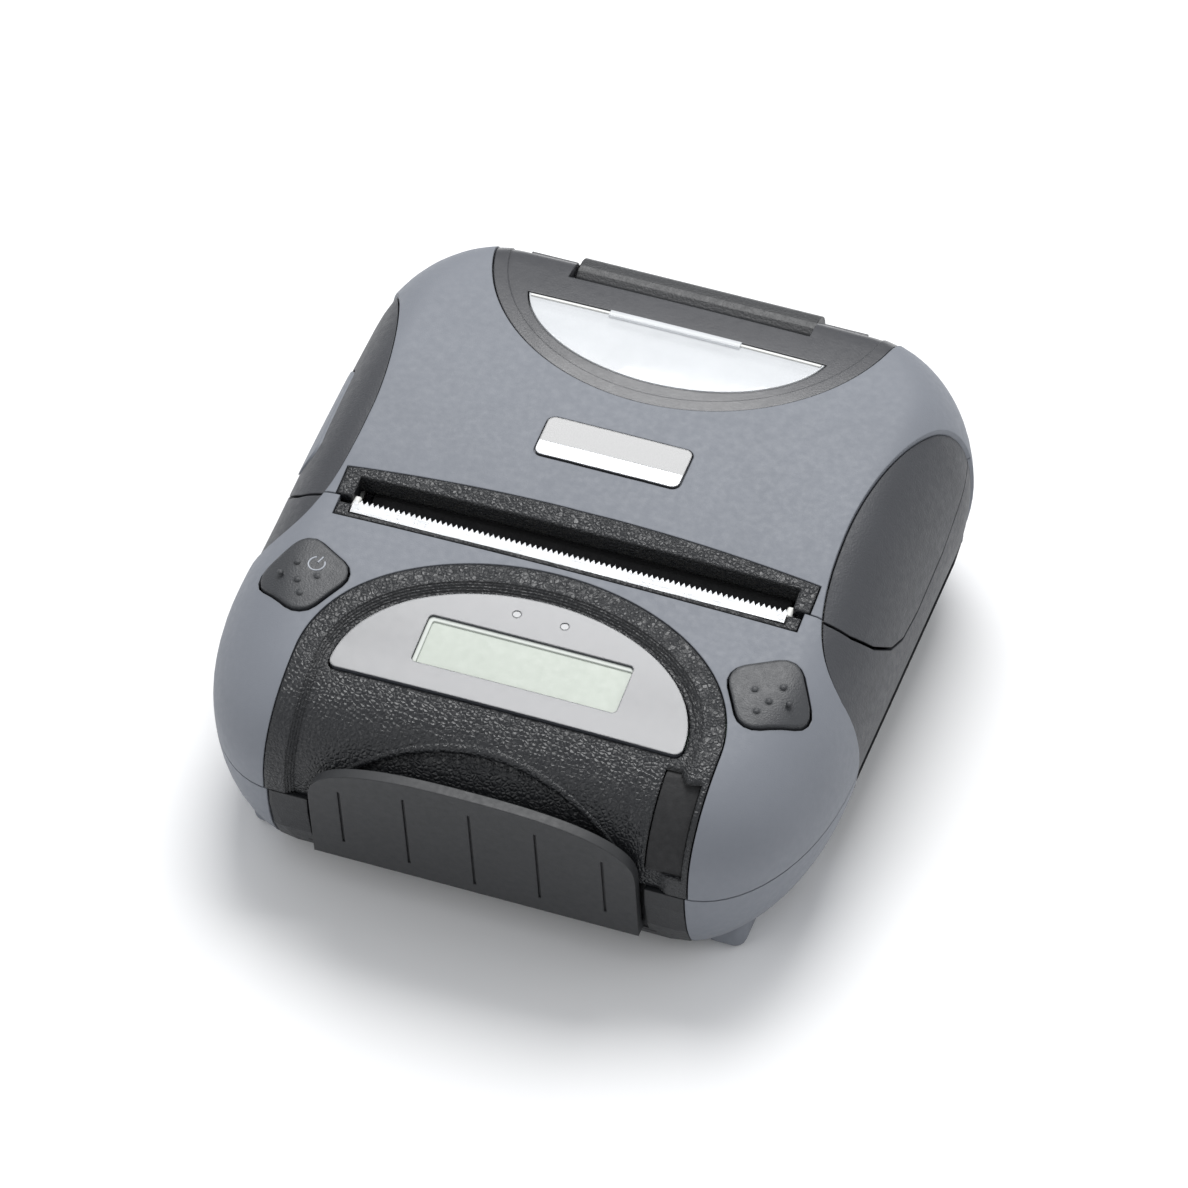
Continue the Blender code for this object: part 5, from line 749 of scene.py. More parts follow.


# Looks: linear colour, roughness, the grain's scale, strength and depth in mm, and what differs
LOOK_ROWS = {
    "soft_grey": ((0.175, 0.187, 0.212), 0.62, (3800.0, 0.25, 0.12), {"spread": 0.03}),
    "grip_dark": ((0.040, 0.042, 0.048), 0.55, (2600.0, 0.5, 0.2), {"spread": 0.06}),
    "leather_black": (
        (0.013, 0.014, 0.016), 0.34, (1250.0, 0.65, 0.2),
        {"kind": "leather", "edge": EDGE_ROUND_WIDE},
    ),
    "case_black": ((0.013, 0.014, 0.016), 0.45, (2400.0, 0.4, 0.2), {}),
    "plate_dark": ((0.022, 0.023, 0.025), 0.52, (4200.0, 0.2, 0.1), {"spread": 0.04}),
    "key_dark": ((0.034, 0.036, 0.040), 0.45, (3000.0, 0.5, 0.16), {"edge": 0.8 * MM}),
    "panel_gloss": ((0.034, 0.035, 0.040), 0.34, (2200.0, 0.25, 0.1), {"coat": 0.2}),
    "lens_smooth": ((0.055, 0.058, 0.066), 0.22, None, {"coat": 0.5, "spread": 0.02}),
    "screen_pale": ((0.40, 0.44, 0.385), 0.34, (5200.0, 0.1, 0.05), {"spread": 0.02}),
    "bezel_pale": ((0.56, 0.59, 0.55), 0.45, (4200.0, 0.1, 0.05), {"spread": 0.02}),
    "steel_bright": (
        (0.50, 0.51, 0.52), 0.3, (9000.0, 0.35, 0.05),
        {"kind": "brushed", "metallic": 1.0, "edge": 0.08 * MM},
    ),
    "steel_dull": ((0.45, 0.46, 0.47), 0.38, (5200.0, 0.4, 0.1), {"kind": "brushed", "metallic": 1.0}),
    "silver_paint": (
        (0.46, 0.47, 0.485), 0.38, (9000.0, 0.2, 0.04),
        {"kind": "brushed", "metallic": 0.85},
    ),
    "plate_gloss": ((0.02, 0.021, 0.023), 0.16, None, {"coat": 0.8, "spread": 0.03}),
    "white_part_and_painted_highlight": ((0.74, 0.74, 0.71), 0.48, (2600.0, 0.2, 0.1), {"spread": 0.03}),
    "lamp_clear": ((0.14, 0.145, 0.155), 0.2, None, {"coat": 0.6, "edge": 0.2 * MM, "spread": 0.02}),
    "mark_pale": ((0.42, 0.44, 0.48), 0.5, (5200.0, 0.1, 0.05), {"spread": 0.03}),
    "board_green": ((0.015, 0.10, 0.045), 0.38, (1800.0, 0.4, 0.2), {"spread": 0.12}),
    "rubber_black": ((0.018, 0.018, 0.019), 0.8, (2600.0, 0.4, 0.2), {}),
    "paper_white": ((0.86, 0.86, 0.84), 0.9, (3200.0, 0.3, 0.1), {"spread": 0.015}),
    "card_brown": ((0.30, 0.20, 0.11), 0.92, (1400.0, 0.5, 0.3), {"spread": 0.1}),
    "ceramic": ((0.70, 0.66, 0.56), 0.3, (2600.0, 0.15, 0.1), {"spread": 0.04}),
}
LOOKS = {}
for look_name, (look_colour, look_roughness, look_grain, extras) in LOOK_ROWS.items():
    LOOKS[look_name] = surface(look_name, look_colour, look_roughness, look_grain, **extras)

# The lid's clear window
WINDOW_COLOUR = (0.86, 0.88, 0.9, 1.0)
WINDOW_ROUGHNESS = 0.12
WINDOW_COAT = 0.6
WINDOW_HAZE_SHARES = (0.55, 0.62)
WINDOW_CLOUD_SCALE = 90.0


def window_look():
    recipe = Recipe("window_clear")
    shader = recipe.shader
    haze = recipe.ramp(recipe.noise(WINDOW_CLOUD_SCALE, 3.0), *CLOUD_RANGE_SHARES, *WINDOW_HAZE_SHARES)
    recipe.links.new(haze, shader.inputs["Alpha"])
    recipe.links.new(recipe.rounding(EDGE_ROUND), shader.inputs["Normal"])
    shader.inputs["Base Color"].default_value = WINDOW_COLOUR
    shader.inputs["Roughness"].default_value = WINDOW_ROUGHNESS
    shader.inputs["Coat Weight"].default_value = WINDOW_COAT
    return recipe.made


LOOKS["window_clear"] = window_look()


def smooth(thing):
    bm = bmesh.new()
    bm.from_mesh(thing.data)
    bmesh.ops.remove_doubles(bm, verts=bm.verts, dist=WELD)
    bmesh.ops.dissolve_degenerate(bm, edges=bm.edges, dist=WELD)
    bm.to_mesh(thing.data)
    bm.free()
    thing.data.shade_smooth()
    thing.data.set_sharp_from_angle(angle=SHARP_ANGLE)


def show(thing, look, body, slot, *nodes):
    """Finish a piece: its look, the body it moves with, a material slot name that is not used, and the CAD
    nodes it stands for.
    """
    smooth(thing)
    thing.data.materials.clear()
    thing.data.materials.append(LOOKS[look])
    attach(thing, body)
    if nodes:
        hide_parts(*nodes)
    return thing


def dress(look, *nodes):
    """Give CAD nodes that are shown as they are their look."""
    for node in nodes:
        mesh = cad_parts[node].data
        mesh.materials.clear()
        mesh.materials.append(LOOKS[look])


def lens_outline(grow):
    """A segment of an ellipse with its chord to the front and softened ends."""
    points = half_ellipse(LENS_CHORD_Y, LENS_HALF_WIDTH + grow, LENS_LENGTH + grow, False)
    corner = LENS_CORNER
    edge = LENS_HALF_WIDTH + grow
    low = LENS_CHORD_Y - corner - grow
    bend = []
    for angle in angles(LENS_CORNER_STEPS, 90.0)[1:-1]:
        x = edge - corner + corner * math.cos(angle)
        bend.append((x, LENS_CHORD_Y - (corner + grow) * math.sin(angle)))
    left = [(-x, y) for x, y in bend]
    return points + left + [(-edge + corner, low), (edge - corner, low)] + bend[::-1]


def port_box(grow):
    low = (PORT_INNER_X - grow, PANEL_YS[0], PORT_BOTTOM_Z - grow)
    return box("port", low, (PORT_OUTER_X + grow, PANEL_YS[1], PORT_TOP_Z + grow))


def swipe_arch_outline(grow):
    """The swipe recess from the front, in X and Z: half an ellipse on straight sides."""
    edge = SWIPE_ARCH_HALF_WIDTH + grow
    arc = half_ellipse(SWIPE_ARCH_BASE_Z, edge, SWIPE_TOP_CENTRE_Z - SWIPE_ARCH_BASE_Z + grow, False)
    low_z = SWIPE_ARCH_BASE_Z - OVERRUN
    return arc + [(-edge, low_z), (edge, low_z)]


def rounded_outline(half_x, half_y, radius, middle_y):
    points = []
    for quarter, (sx, sy) in enumerate(((1, 1), (-1, 1), (-1, -1), (1, -1))):
        for step in range(OUTLINE_CORNER_STEPS + 1):
            angle = (quarter + step / OUTLINE_CORNER_STEPS) * 90.0 * DEG
            x = sx * (half_x - radius) + radius * math.cos(angle)
            points.append((x, middle_y + sy * (half_y - radius) + radius * math.sin(angle)))
    return points


def rear_panel_outline(grow):
    arc = half_ellipse(REAR_PANEL_CENTRE_Y, REAR_PANEL_HALF_WIDTH + grow, REAR_PANEL_LENGTH + grow, True)
    edge = REAR_PANEL_HALF_WIDTH + grow
    return arc + [(-edge, REAR_Y + OVERRUN), (edge, REAR_Y + OVERRUN)]


def window_outline(grow):
    """The part of an ellipse in front of the window's rear chord."""
    chord = WINDOW_CHORD_Y + grow
    half = WINDOW_HALF_WIDTH + grow
    length = WINDOW_LENGTH + grow
    arc = half_ellipse(WINDOW_CENTRE_Y, half, length, True)
    x = half * math.sqrt(1 - ((chord - WINDOW_CENTRE_Y) / length) ** 2)
    return [(x, chord)] + [place for place in arc if place[1] < chord] + [(-x, chord)]


def open_button_outline(grow):
    """A long oval with round ends, in Y and Z."""
    radius = OPEN_BUTTON_HALF_HEIGHT + grow
    straight = OPEN_BUTTON_HALF_LENGTH - OPEN_BUTTON_HALF_HEIGHT
    points = []
    for end in (0, 1):
        middle = OPEN_BUTTON_Y + (straight if end == 0 else -straight)
        for step in range(2 * OUTLINE_CORNER_STEPS + 1):
            angle = (end * 2 - 1 + step / OUTLINE_CORNER_STEPS) * 90.0 * DEG
            points.append((middle + radius * math.cos(angle), OPEN_BUTTON_Z + radius * math.sin(angle)))
    return points


def side_name(side):
    return "left" if side < 0 else "right"


def front_cover():
    thing = skin("front_cover_look", 0.0, WALL)
    keep(thing, across(FAR, (FRONT_Y - OVERRUN, GRIP_CENTRE_Y), (FRONT_SEAM_Z + SEAM / 2, TOP)))
    cut(thing, lid_region(SEAM))
    cut(thing, upright(arch_outline(SEAM), 0.0))
    cut(thing, across(SLOT_FRAME_HALF_WIDTH + SEAM, (SLOT_FRAME_FRONT_Y - SEAM, REAR_Y), (WIDEST_Z, TOP)))
    for side in (-1, 1):
        cut(thing, grip_region(side, SEAM))
        cut(thing, button_region(side, BUTTON_GAP))
    return show(thing, "soft_grey", "base", "grey_overmould", "front_cover")


def front_panel():
    thing = skin("front_panel_look", 0.0, PANEL_WALL)
    keep(thing, upright(arch_outline(0.0), FRONT_SEAM_Z + SEAM / 2))
    for index in range(BAND_STEPS):
        share = (index + 1) / BAND_STEPS
        sunk = skin("sunk", -PANEL_RECESS, PANEL_RECESS * share)
        keep(sunk, upright(arch_outline(-ARCH_BAND + BAND_SLOPE * (1 - share)), 0.0))
        cut(thing, sunk)
    swipe = skin("swipe", -PANEL_RECESS, PANEL_RECESS + SWIPE_RECESS)
    keep(swipe, prism("swipe_arch", swipe_arch_outline(0.0), "Y", *PANEL_YS))
    cut(thing, swipe)
    cut(thing, upright(lens_outline(SEAM)))
    cut(thing, port_box(SEAM))
    show(thing, "leather_black", "base", "black_grain", "front_panel")
    rim = skin("swipe_rim_look", PANEL_RECESS - RIM_PROUD, PANEL_RECESS + WALL)
    keep(rim, prism("rim", swipe_arch_outline(RIM_WIDTH), "Y", *PANEL_YS))
    cut(rim, prism("inside", swipe_arch_outline(0.0), "Y", FRONT_Y - 2 * OVERRUN, REAR_Y))
    keep(rim, across(FAR, PANEL_YS, (FRONT_SEAM_Z + SEAM, TOP)))
    show(rim, "leather_black", "base", "black_grain")


def screen_outline(grow):
    middle = (LCD_REAR_Y + LCD_FRONT_Y) / 2
    half_y = (LCD_REAR_Y - LCD_FRONT_Y) / 2
    return rounded_outline(LCD_HALF_WIDTH + grow, half_y + grow, SCREEN_CORNER + grow, middle)


def display():
    lens_step = PANEL_RECESS / 2
    lens = trimmed("display_lens_look", lens_step, lens_step + LENS_THICKNESS, lens_outline(0.0))
    cut(lens, upright(screen_outline(0.0)))
    for x in LAMP_XS:
        start = (x, LAMP_Y, WIDEST_Z)
        cut(lens, cylinder("lamp_room", LAMP_RADIUS, start, (x, LAMP_Y, TOP), SMALL_ROUND_SIDES))
    show(lens, "lens_smooth", "base", "lens", "display_lens")
    edge = screen_outline(-TOUCH)
    bezel = trimmed("screen_bezel_look", lens_step + SCREEN_SINK, lens_step + LENS_THICKNESS, edge)
    shift = SCREEN_BEZEL / 2
    outline = [(x + shift, y - shift) for x, y in screen_outline(-shift)]
    outline = [(min(x, LCD_HALF_WIDTH), max(y, LCD_FRONT_Y)) for x, y in outline]
    cut(bezel, upright(outline))
    show(bezel, "bezel_pale", "base", "screen")
    sink = lens_step + SCREEN_SINK * GLASS_SINK_SHARE
    glass = trimmed("screen_look", sink, lens_step + LENS_THICKNESS * GLASS_DEPTH_SHARE, edge)
    show(glass, "screen_pale", "base", "screen", "display_module")
    for name, x in zip(("power_lamp", "status_lamp"), LAMP_XS):
        top = top_height(x, LAMP_Y) - lens_step - TOUCH
        start = (x, LAMP_Y, top - LAMP_HEIGHT)
        lamp = cylinder(name + "_look", LAMP_RADIUS - TOUCH, start, (x, LAMP_Y, top), SMALL_ROUND_SIDES)
        show(lamp, "lamp_clear", "base", "white_plastic", name)


def dome(thing, x, y, z, radius, height):
    bm = bmesh.new()
    bmesh.ops.create_uvsphere(bm, u_segments=20, v_segments=12, radius=radius)
    bmesh.ops.scale(bm, vec=(1.0, 1.0, height / radius), verts=bm.verts)
    bmesh.ops.translate(bm, vec=(x, y, z), verts=bm.verts)
    join(thing, mesh_object("dome", bm))


def keys():
    """Two rounded-square keys, their tops following the body, with raised dots."""
    for side, label in ((-1, "power"), (1, "feed")):
        key = skin(label + "_button_look", -BUTTON_PROUD, BUTTON_SKIRT - BUTTON_PROUD)
        keep(key, button_region(side, 0.0))
        turn = Matrix.Rotation(side * BUTTON_TURN, 2)
        for u, v in DOT_PLACES_MM:
            x, y = turn @ Vector((-side * (u * MM), v * MM))
            x += side * BUTTON_X
            y += BUTTON_Y
            dome(key, x, y, top_height(x, y) + BUTTON_PROUD, DOT_RADIUS, DOT_PROUD)
        show(key, "key_dark", label + "_key", "charcoal", label + "_button")
    power_mark()


def power_mark():
    """The common on-off symbol, an open ring with a bar, drawn as a fine raised line."""
    turn = Matrix.Rotation(RING_TURN, 2)
    middle = Vector((-BUTTON_X, BUTTON_Y)) + turn @ Vector((RING_PLACE_X, RING_PLACE_Y))
    ring = []
    for index in range(RING_STEPS + 1):
        angle = 90.0 * DEG + RING_OPENING + (360.0 * DEG - 2 * RING_OPENING) * index / RING_STEPS
        ring.append(Vector((RING_RADIUS * math.cos(angle), RING_RADIUS * math.sin(angle))))
    bar = [Vector((0.0, RING_RADIUS * share)) for share in RING_BAR_SHARES]
    curve = bpy.data.curves.new("power_mark_curve", "CURVE")
    curve.dimensions = "3D"
    curve.bevel_depth = RING_LINE
    curve.bevel_resolution = 2
    curve.use_fill_caps = True
    for line in (ring, bar):
        spline = curve.splines.new("POLY")
        spline.points.add(len(line) - 1)
        for index, point in enumerate(line):
            spot = middle + turn @ point
            z = top_height(spot.x, spot.y) + BUTTON_PROUD
            spline.points[index].co = (spot.x, spot.y, z, 1.0)
    raw = linked("power_mark_raw", curve)
    graph = bpy.context.evaluated_depsgraph_get()
    mesh = bpy.data.meshes.new_from_object(raw.evaluated_get(graph))
    bpy.data.objects.remove(raw, do_unlink=True)
    show(linked("power_mark_look", mesh), "mark_pale", "power_key", "charcoal")


def slot_parts():
    frame_piece = skin("slot_frame_look", TOUCH, FRAME_DEPTH + CROWN_SIDE_DROP)
    limits = ((SLOT_FRAME_FRONT_Y, SLOT_FRONT_Y), (BLADE_Z - FRAME_DEPTH, TOP))
    keep(frame_piece, across(SLOT_FRAME_HALF_WIDTH, *limits))
    floor = BLADE_Z - BLADE_THICKNESS * 2 - SEAM * 2
    ys = (SLOT_FRONT_Y - BLADE_STRIP_DEPTH, REAR_Y)
    cut(frame_piece, across(BLADE_HALF_WIDTH + SEAM, ys, (floor, TOP)))
    show(frame_piece, "leather_black", "base", "charcoal", "slot_frame")
    lip = skin("lid_lip_look", -LIP_PROUD, WALL * 2)
    keep(lip, lid_region(0.0))
    keep(lip, upright(lip_outline(0.0)))
    cut(lip, across(SLOT_HALF_WIDTH, (BLADE_Y - OVERRUN, SLOT_REAR_Y), (WIDEST_Z, TOP)))
    show(lip, "leather_black", "lid", "black_grain", "lid_lip")
    dress("steel_bright", "tear_blade")
    dress("white_part_and_painted_highlight", "paper_guide_left", "paper_guide_right")


def lid_parts():
    cover = skin("lid_cover_look", 0.0, WALL)
    keep(cover, lid_region(0.0))
    cut(cover, upright(rear_panel_outline(SEAM), 0.0))
    cut(cover, upright(lip_outline(SEAM)))
    for side in (-1, 1):
        cut(cover, grip_region(side, SEAM))
    floor = top_height(0.0, PLATE_Y) - PLATE_SINK
    sizes = [size + SEAM for size in (PLATE_HALF_LENGTH, PLATE_HALF_HEIGHT, PLATE_CORNER)]
    cut(cover, upright(rounded_outline(*sizes, PLATE_Y), floor))
    show(cover, "soft_grey", "lid", "grey_overmould", "lid_cover")
    outline = rounded_outline(PLATE_HALF_LENGTH, PLATE_HALF_HEIGHT, PLATE_CORNER, PLATE_Y)
    plate = trimmed("name_plate_look", -PLATE_PROUD, PLATE_SINK * PLATE_SINK_SHARE, outline)
    show(plate, "plate_gloss", "lid", "charcoal", "name_plate")
    outline = rounded_outline(PLATE_HALF_LENGTH - TOUCH, PLATE_HALF_HEIGHT - TOUCH, PLATE_CORNER, PLATE_Y)
    band = trimmed("name_plate_band_look", -PLATE_PROUD - TOUCH * 2, 0.0, outline)
    band_top = PLATE_Y - PLATE_HALF_HEIGHT * PLATE_BAND_SHARE
    keep(band, across(FAR, (FRONT_Y, band_top), (0.0, TOP)))
    show(band, "silver_paint", "lid", "charcoal")
    lid_inner()
    window = trimmed("lid_window_look", SKIN_STEP, SKIN_STEP + WINDOW_LIP, window_outline(-SEAM))
    show(window, "window_clear", "lid", "clear", "lid_window")
    ledge = skin("window_ledge_look", SKIN_STEP - LEDGE_PROUD, SKIN_STEP + TOUCH)
    limits = ((WINDOW_CHORD_Y - SEAM - LEDGE_DEPTH, WINDOW_CHORD_Y - SEAM), (WIDEST_Z, TOP))
    keep(ledge, across(LEDGE_HALF_WIDTH, *limits))
    show(ledge, "window_clear", "lid", "clear")
    # A white strip along the window's rear chord, a painted highlight where light catches the window's step
    # edge
    outline = window_outline(-SEAM * 2)
    painted_highlight = trimmed("window_painted_highlight_look", SKIN_STEP - LEDGE_PROUD / 2, SKIN_STEP + TOUCH, outline)
    keep(painted_highlight, across(FAR, (WINDOW_CHORD_Y - SEAM - HIGHLIGHT_STRIP_DEPTH, WINDOW_CHORD_Y), (WIDEST_Z, TOP)))
    show(painted_highlight, "white_part_and_painted_highlight", "lid", "clear")


def hinge_knuckle(side):
    inner = HINGE_TOWER_HALF_WIDTH + GAP * 2
    ends = sorted((side * inner, side * (inner + HINGE_KNUCKLE_WIDTH)))
    thing = bar_along_x(HINGE_KNUCKLE_RADIUS, ends, HINGE_Y, HINGE_Z)
    low = (ends[0], HINGE_Y - HINGE_KNUCKLE_RADIUS, HINGE_Z)
    top = top_height(0.0, HINGE_Y) - WALL - CROWN_SIDE_DROP
    return join(thing, box("web", low, (ends[1], HINGE_Y + HINGE_KNUCKLE_RADIUS / 4, top)))


def platen_bracket(side):
    ends = sorted((side * BRACKET_INNER_X, side * (BRACKET_INNER_X + BRACKET_THICKNESS)))
    thing = bar_along_x(BRACKET_RADIUS, ends, PLATEN_Y, PLATEN_Z)
    low = (ends[0], PLATEN_Y, PLATEN_Z - BRACKET_RADIUS / 2)
    high = (ends[1], LATCH_Y + LATCH_SHAFT_RADIUS * 2, BLADE_Z - WALL)
    return join(thing, box("bracket_plate", low, high))


def lid_inner():
    """The lid's dark inner frame, with the panel round the window."""
    inner = CASE_INNER_STEP + LINER_WALL
    thing = skin("lid_frame_look", SKIN_STEP / 2, inner)
    keep(thing, lid_region(0.0))
    keep(thing, upright(rear_panel_outline(0.0), 0.0))
    sunk = skin("sunk", 0.0, SKIN_STEP)
    keep(sunk, upright(rear_panel_outline(-PANEL_FRAME_BAND), HINGE_Z))
    cut(thing, sunk)
    liner = skin("liner", CASE_INNER_STEP, inner)
    front = SLOT_REAR_Y + LIP_CROWN_REACH + GAP
    limits = ((front, REAR_PANEL_CENTRE_Y - UPPER_ROLL_REAR), (BLADE_Z - UPPER_ROLL_REAR, TOP))
    keep(liner, across(LINER_HALF_WIDTH, *limits))
    join(thing, liner)
    for side in (-1, 1):
        join(thing, platen_bracket(side))
    cut(thing, across(HINGE_TOWER_HALF_WIDTH + GAP, (NOTCH_FRONT_Y, REAR_Y + OVERRUN), (0.0, TOP)))
    for side in (-1, 1):
        join(thing, hinge_knuckle(side))
    cut(thing, upright(window_outline(0.0)))
    rooms = (
        (HINGE_PIN_RADIUS, HINGE_Y, HINGE_Z),
        (PLATEN_SHAFT_RADIUS, PLATEN_Y, PLATEN_Z),
        (LATCH_SHAFT_RADIUS, LATCH_Y, LATCH_Z),
    )
    for radius, y, z in rooms:
        cut(thing, bar_along_x(radius + GAP / 2, (-FAR, FAR), y, z, SMALL_ROUND_SIDES))
    show(thing, "panel_gloss", "lid", "lid_dark", "lid_frame")


def side_grips():
    thickness = CASE_INNER_STEP - SEAM
    for side in (-1, 1):
        label = side_name(side)
        upper = skin("lid_grip_look_" + label, SKIN_STEP, thickness)
        keep(upper, lid_region(0.0))
        keep(upper, grip_region(side, 0.0))
        if side < 0:
            hole = open_button_outline(OPEN_BUTTON_GAP)
            cut(upper, prism("button_hole", hole, "X", -FAR, 0.0))
        show(upper, "grip_dark", "lid", "dark_grip", "lid_grip_" + label)
        lower = skin("base_grip_look_" + label, SKIN_STEP, thickness)
        keep(lower, grip_region(side, 0.0, low=GRIP_LOWER_Z))
        cut(lower, lid_region(SEAM * 1.5))
        show(lower, "grip_dark", "base", "dark_grip", "base_grip_" + label)
    key = skin("open_button_look", SKIN_STEP / 2, SKIN_STEP / 2 + OPEN_BUTTON_DEPTH)
    keep(key, prism("oval", open_button_outline(0.0), "X", -FAR, 0.0))
    x_high = -LATCH_HOOK_X - LATCH_HOOK_THICKNESS / 2 - GAP - OPEN_BUTTON_TRAVEL
    half = LATCH_HOOK_WIDTH / 2
    low = (-HALF_WIDTH + OPEN_BUTTON_DEPTH * 2, LATCH_Y - half, LATCH_Z - half)
    join(key, box("plunger", low, (x_high, LATCH_Y + half, LATCH_Z + half)))
    show(key, "soft_grey", "open_key", "grey_overmould", "open_button")


def bumper_limits(side, end):
    xs = sorted((side * FOOT_INNER_X, side * FAR))
    if end == "front":
        return (xs[0], FRONT_Y - OVERRUN, -OVERRUN), (xs[1], BUMPER_FRONT_REAR_Y, FRONT_SEAM_Z - SEAM / 2)
    return (xs[0], BUMPER_REAR_FRONT_Y, -OVERRUN), (xs[1], REAR_Y + OVERRUN, BLADE_Z)


def foot_limits(side, end):
    xs = sorted((side * FOOT_INNER_X, side * FOOT_OUTER_X))
    ys = (FOOT_FRONT_Y, FOOT_REAR_Y) if end == "front" else (REAR_FOOT_FRONT_Y, REAR_FOOT_REAR_Y)
    return (xs[0], ys[0], 0.0), (xs[1], ys[1], FOOT_TOP_Z)


def corner_bumpers():
    for end in ("front", "rear"):
        for side in (-1, 1):
            label = end + "_bumper_" + side_name(side)
            thing = skin(label + "_look", 0.0, WALL)
            keep(thing, box("bumper_room", *bumper_limits(side, end)))
            if end == "rear":
                cut(thing, lid_region(SEAM))
                ends = (side * (HINGE_TOWER_HALF_WIDTH + GAP), side * FAR)
                cut(thing, bar_along_x(HINGE_SWEEP_RADIUS, ends, HINGE_Y, HINGE_Z, SWEEP_SIDES))
            join(thing, rounded_box("foot", *foot_limits(side, end), FOOT_ROUND))
            cut(thing, grip_region(side, SEAM, low=GRIP_LOWER_Z - SEAM))
            for y in BOSS_YS:
                x = side * BOSS_X
                room = BOSS_RADIUS + GAP
                cut(thing, cylinder("boss_room", room, (x, y, -OVERRUN), (x, y, WIDEST_Z), BOSS_SIDES))
            show(thing, "soft_grey", "base", "grey_overmould", label)


def card_guide():
    """The leaning plate with five fine grooves and a thin rounded top edge."""
    rise = GUIDE_CROWN_Z - GUIDE_SHOULDER_Z
    outline = [(GUIDE_HALF_WIDTH, GUIDE_BOTTOM_Z)]
    for angle in angles(ARC_STEPS, 180.0):
        share = math.cos(angle)
        arc = (1 - abs(share) ** GUIDE_CROWN_POWER) ** (1 / GUIDE_CROWN_POWER)
        outline.append((GUIDE_HALF_WIDTH * share, GUIDE_SHOULDER_Z + rise * arc))
    outline.append((-GUIDE_HALF_WIDTH, GUIDE_BOTTOM_Z))
    thing = prism("card_guide_look", outline, "Y", GUIDE_BOTTOM_Y, GUIDE_BOTTOM_Y + GUIDE_THICKNESS)
    middle = (GUIDE_GROOVE_COUNT - 1) / 2
    for index in range(GUIDE_GROOVE_COUNT):
        place = index - middle
        x = place * GUIDE_GROOVE_PITCH
        share = min(abs(x) / GUIDE_HALF_WIDTH, 1.0)
        arc = (1 - share**GUIDE_CROWN_POWER) ** (1 / GUIDE_CROWN_POWER)
        top = GUIDE_SHOULDER_Z + rise * arc - GUIDE_GROOVE_TOP_DROP
        bottom = GUIDE_BOTTOM_Z + GUIDE_GROOVE_BOTTOM_RISE * (0.5 + abs(place) / 4)
        half = GUIDE_GROOVE_WIDTH / 2
        low = (x - half, GUIDE_BOTTOM_Y - OVERRUN, bottom)
        cut(thing, box("groove", low, (x + half, GUIDE_BOTTOM_Y + GUIDE_GROOVE_DEPTH, top)))
    pivot = Vector((0.0, GUIDE_BOTTOM_Y, GUIDE_BOTTOM_Z))
    spin = Matrix.Translation(pivot) @ Matrix.Rotation(GUIDE_LEAN, 4, "X") @ Matrix.Translation(-pivot)
    thing.data.transform(spin)
    flange_ys = (GUIDE_BOTTOM_Y + GUIDE_THICKNESS / 2, SWIPE_WALL_Y - GAP)
    join(thing, across(GUIDE_HALF_WIDTH, flange_ys, (GUIDE_BOTTOM_Z, GUIDE_BOTTOM_Z + GUIDE_FLANGE)))
    show(thing, "plate_dark", "base", "charcoal", "card_guide")


def port_flap():
    thing = skin("port_cover_look", PANEL_RECESS, PANEL_RECESS + PORT_THICKNESS)
    keep(thing, port_box(0.0))
    y = FRONT_Y + PANEL_RECESS + PORT_KNUCKLE_RADIUS
    xs = (PORT_INNER_X, PORT_OUTER_X)
    join(thing, bar_along_x(PORT_KNUCKLE_RADIUS, xs, y, PORT_BOTTOM_Z, SMALL_ROUND_SIDES))
    show(thing, "rubber_black", "port_flap", "roller_rubber", "port_cover")


def inner_looks():
    """CAD nodes that are shown as they are."""
    dress("case_black", "bottom_case")
    dress("plate_dark", "roll_bay", "battery_pack", "battery_latch", "power_switch", "feed_switch")
    dress("steel_dull", "chassis", "head_bracket", "feed_motor", "port_socket")
    dress("steel_bright", "platen_shaft", "hinge_pin", "latch_shaft", "read_head", "read_head_spring")
    dress("steel_bright", "head_spring_left", "head_spring_right")
    dress("steel_dull", "front_screw_left", "front_screw_right", "rear_screw_left", "rear_screw_right")
    dress("white_part_and_painted_highlight", "platen_gear", "idler_gear", "motor_pinion")
    dress("white_part_and_painted_highlight", "platen_bearing_left", "platen_bearing_right")
    dress("board_green", "control_board", "main_board")
    dress("ceramic", "print_head")
    dress("rubber_black", "platen_roller")
    dress("paper_white", "paper_roll")
    dress("card_brown", "roll_core")


# Camera at the photo's angle; the scale and the shift share the outline's error with the slot's
PHOTO_SIDE = 1188.0
AZIMUTH = 19.625 * DEG
ELEVATION = 46.0 * DEG
CAMERA_DISTANCE = 1.5
PIXELS_PER_METRE = 5620.0
CENTRE_SHIFT_X = -24.35
CENTRE_SHIFT_Y = -39.0
SENSOR_MM = 36.0


def add_camera():
    data = bpy.data.cameras.new("camera")
    camera = linked("camera", data)
    back = Vector((math.sin(AZIMUTH), -math.cos(AZIMUTH), 0.0)) * math.cos(ELEVATION)
    back.z = math.sin(ELEVATION)
    right = Vector((math.cos(AZIMUTH), math.sin(AZIMUTH), 0.0))
    up = back.cross(right)
    place = Matrix((right, up, back)).transposed().to_4x4()
    place.translation = Vector((0.0, BLADE_Y, BLADE_Z)) + back * CAMERA_DISTANCE
    camera.matrix_world = place
    data.sensor_width = SENSOR_MM
    data.lens = SENSOR_MM * PIXELS_PER_METRE * CAMERA_DISTANCE / PHOTO_SIDE
    data.shift_x = -CENTRE_SHIFT_X / PHOTO_SIDE
    data.shift_y = CENTRE_SHIFT_Y / PHOTO_SIDE
    data.dof.use_dof = False
    bpy.context.scene.camera = camera


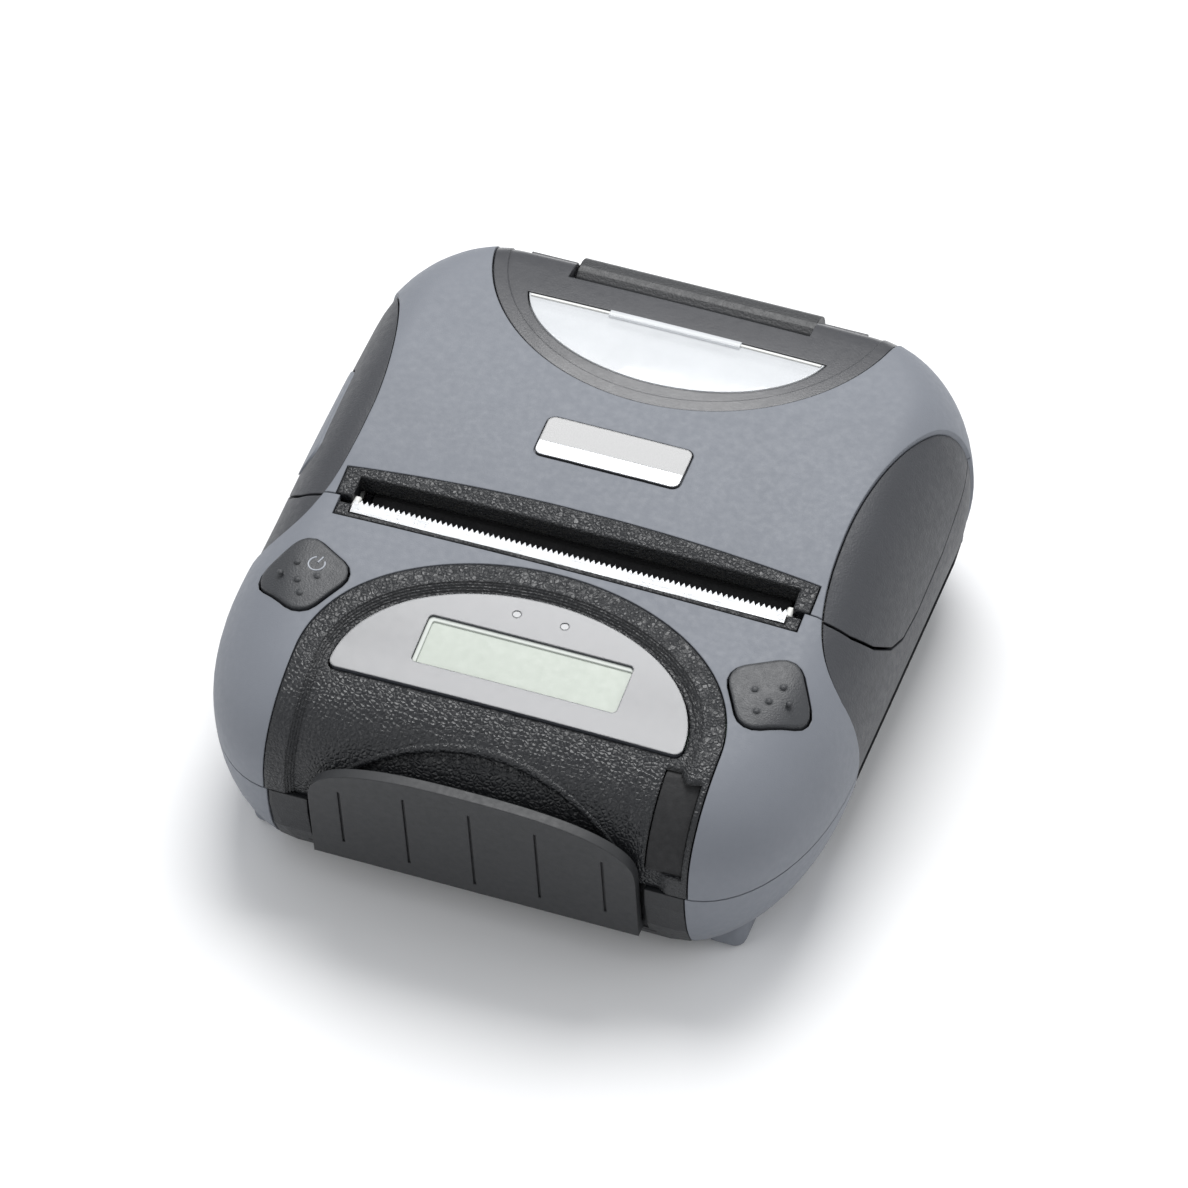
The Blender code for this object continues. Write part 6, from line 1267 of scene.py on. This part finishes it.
def add_light(name, place, aim, side, power):
    data = bpy.data.lights.new(name, "AREA")
    data.shape = "SQUARE"
    data.size = side
    data.energy = power
    lamp = linked(name, data)
    lamp.location = place
    lamp.rotation_euler = (Vector(aim) - Vector(place)).to_track_quat("-Z", "Y").to_euler()


# Floor, world and lamps; a lamp's row is its place, the side of its square and its power
FLOOR_HALF_WIDTH = 3.0
FLOOR_COLOUR = (0.9, 0.9, 0.9, 1.0)
FLOOR_ROUGHNESS = 0.9
WORLD_COLOUR = (0.95, 0.97, 1.0, 1.0)
WORLD_STRENGTH = 0.62
LAMP_AIM = (0.0, 0.0, 0.03)
LAMP_ROWS = {
    "key": ((-0.1, 0.5, 0.9), 0.6, 9.5),
    "front": ((-0.5, -0.7, 0.55), 0.5, 1.2),
    "side": ((0.9, 0.2, 0.5), 0.4, 0.8),
}


def add_stage():
    floor_mesh = bpy.data.meshes.new("floor")
    half = FLOOR_HALF_WIDTH
    corners = [(-half, -half, 0.0), (half, -half, 0.0), (half, half, 0.0), (-half, half, 0.0)]
    floor_mesh.from_pydata(corners, [], [(0, 1, 2, 3)])
    floor = linked("floor", floor_mesh)
    material = bpy.data.materials.new("floor_pale")
    material.use_nodes = True
    shader = material.node_tree.nodes["Principled BSDF"]
    shader.inputs["Base Color"].default_value = FLOOR_COLOUR
    shader.inputs["Roughness"].default_value = FLOOR_ROUGHNESS
    floor_mesh.materials.append(material)
    world = bpy.data.worlds.new("world")
    bpy.context.scene.world = world
    world.use_nodes = True
    world.node_tree.nodes["Background"].inputs["Color"].default_value = WORLD_COLOUR
    world.node_tree.nodes["Background"].inputs["Strength"].default_value = WORLD_STRENGTH
    for name, (place, side, power) in LAMP_ROWS.items():
        add_light(name, place, LAMP_AIM, side, power)


def build():
    front_cover()
    front_panel()
    display()
    keys()
    slot_parts()
    lid_parts()
    side_grips()
    corner_bumpers()
    card_guide()
    port_flap()
    inner_looks()
    add_stage()
    add_camera()
    bpy.context.scene.view_settings.view_transform = "Standard"


build()
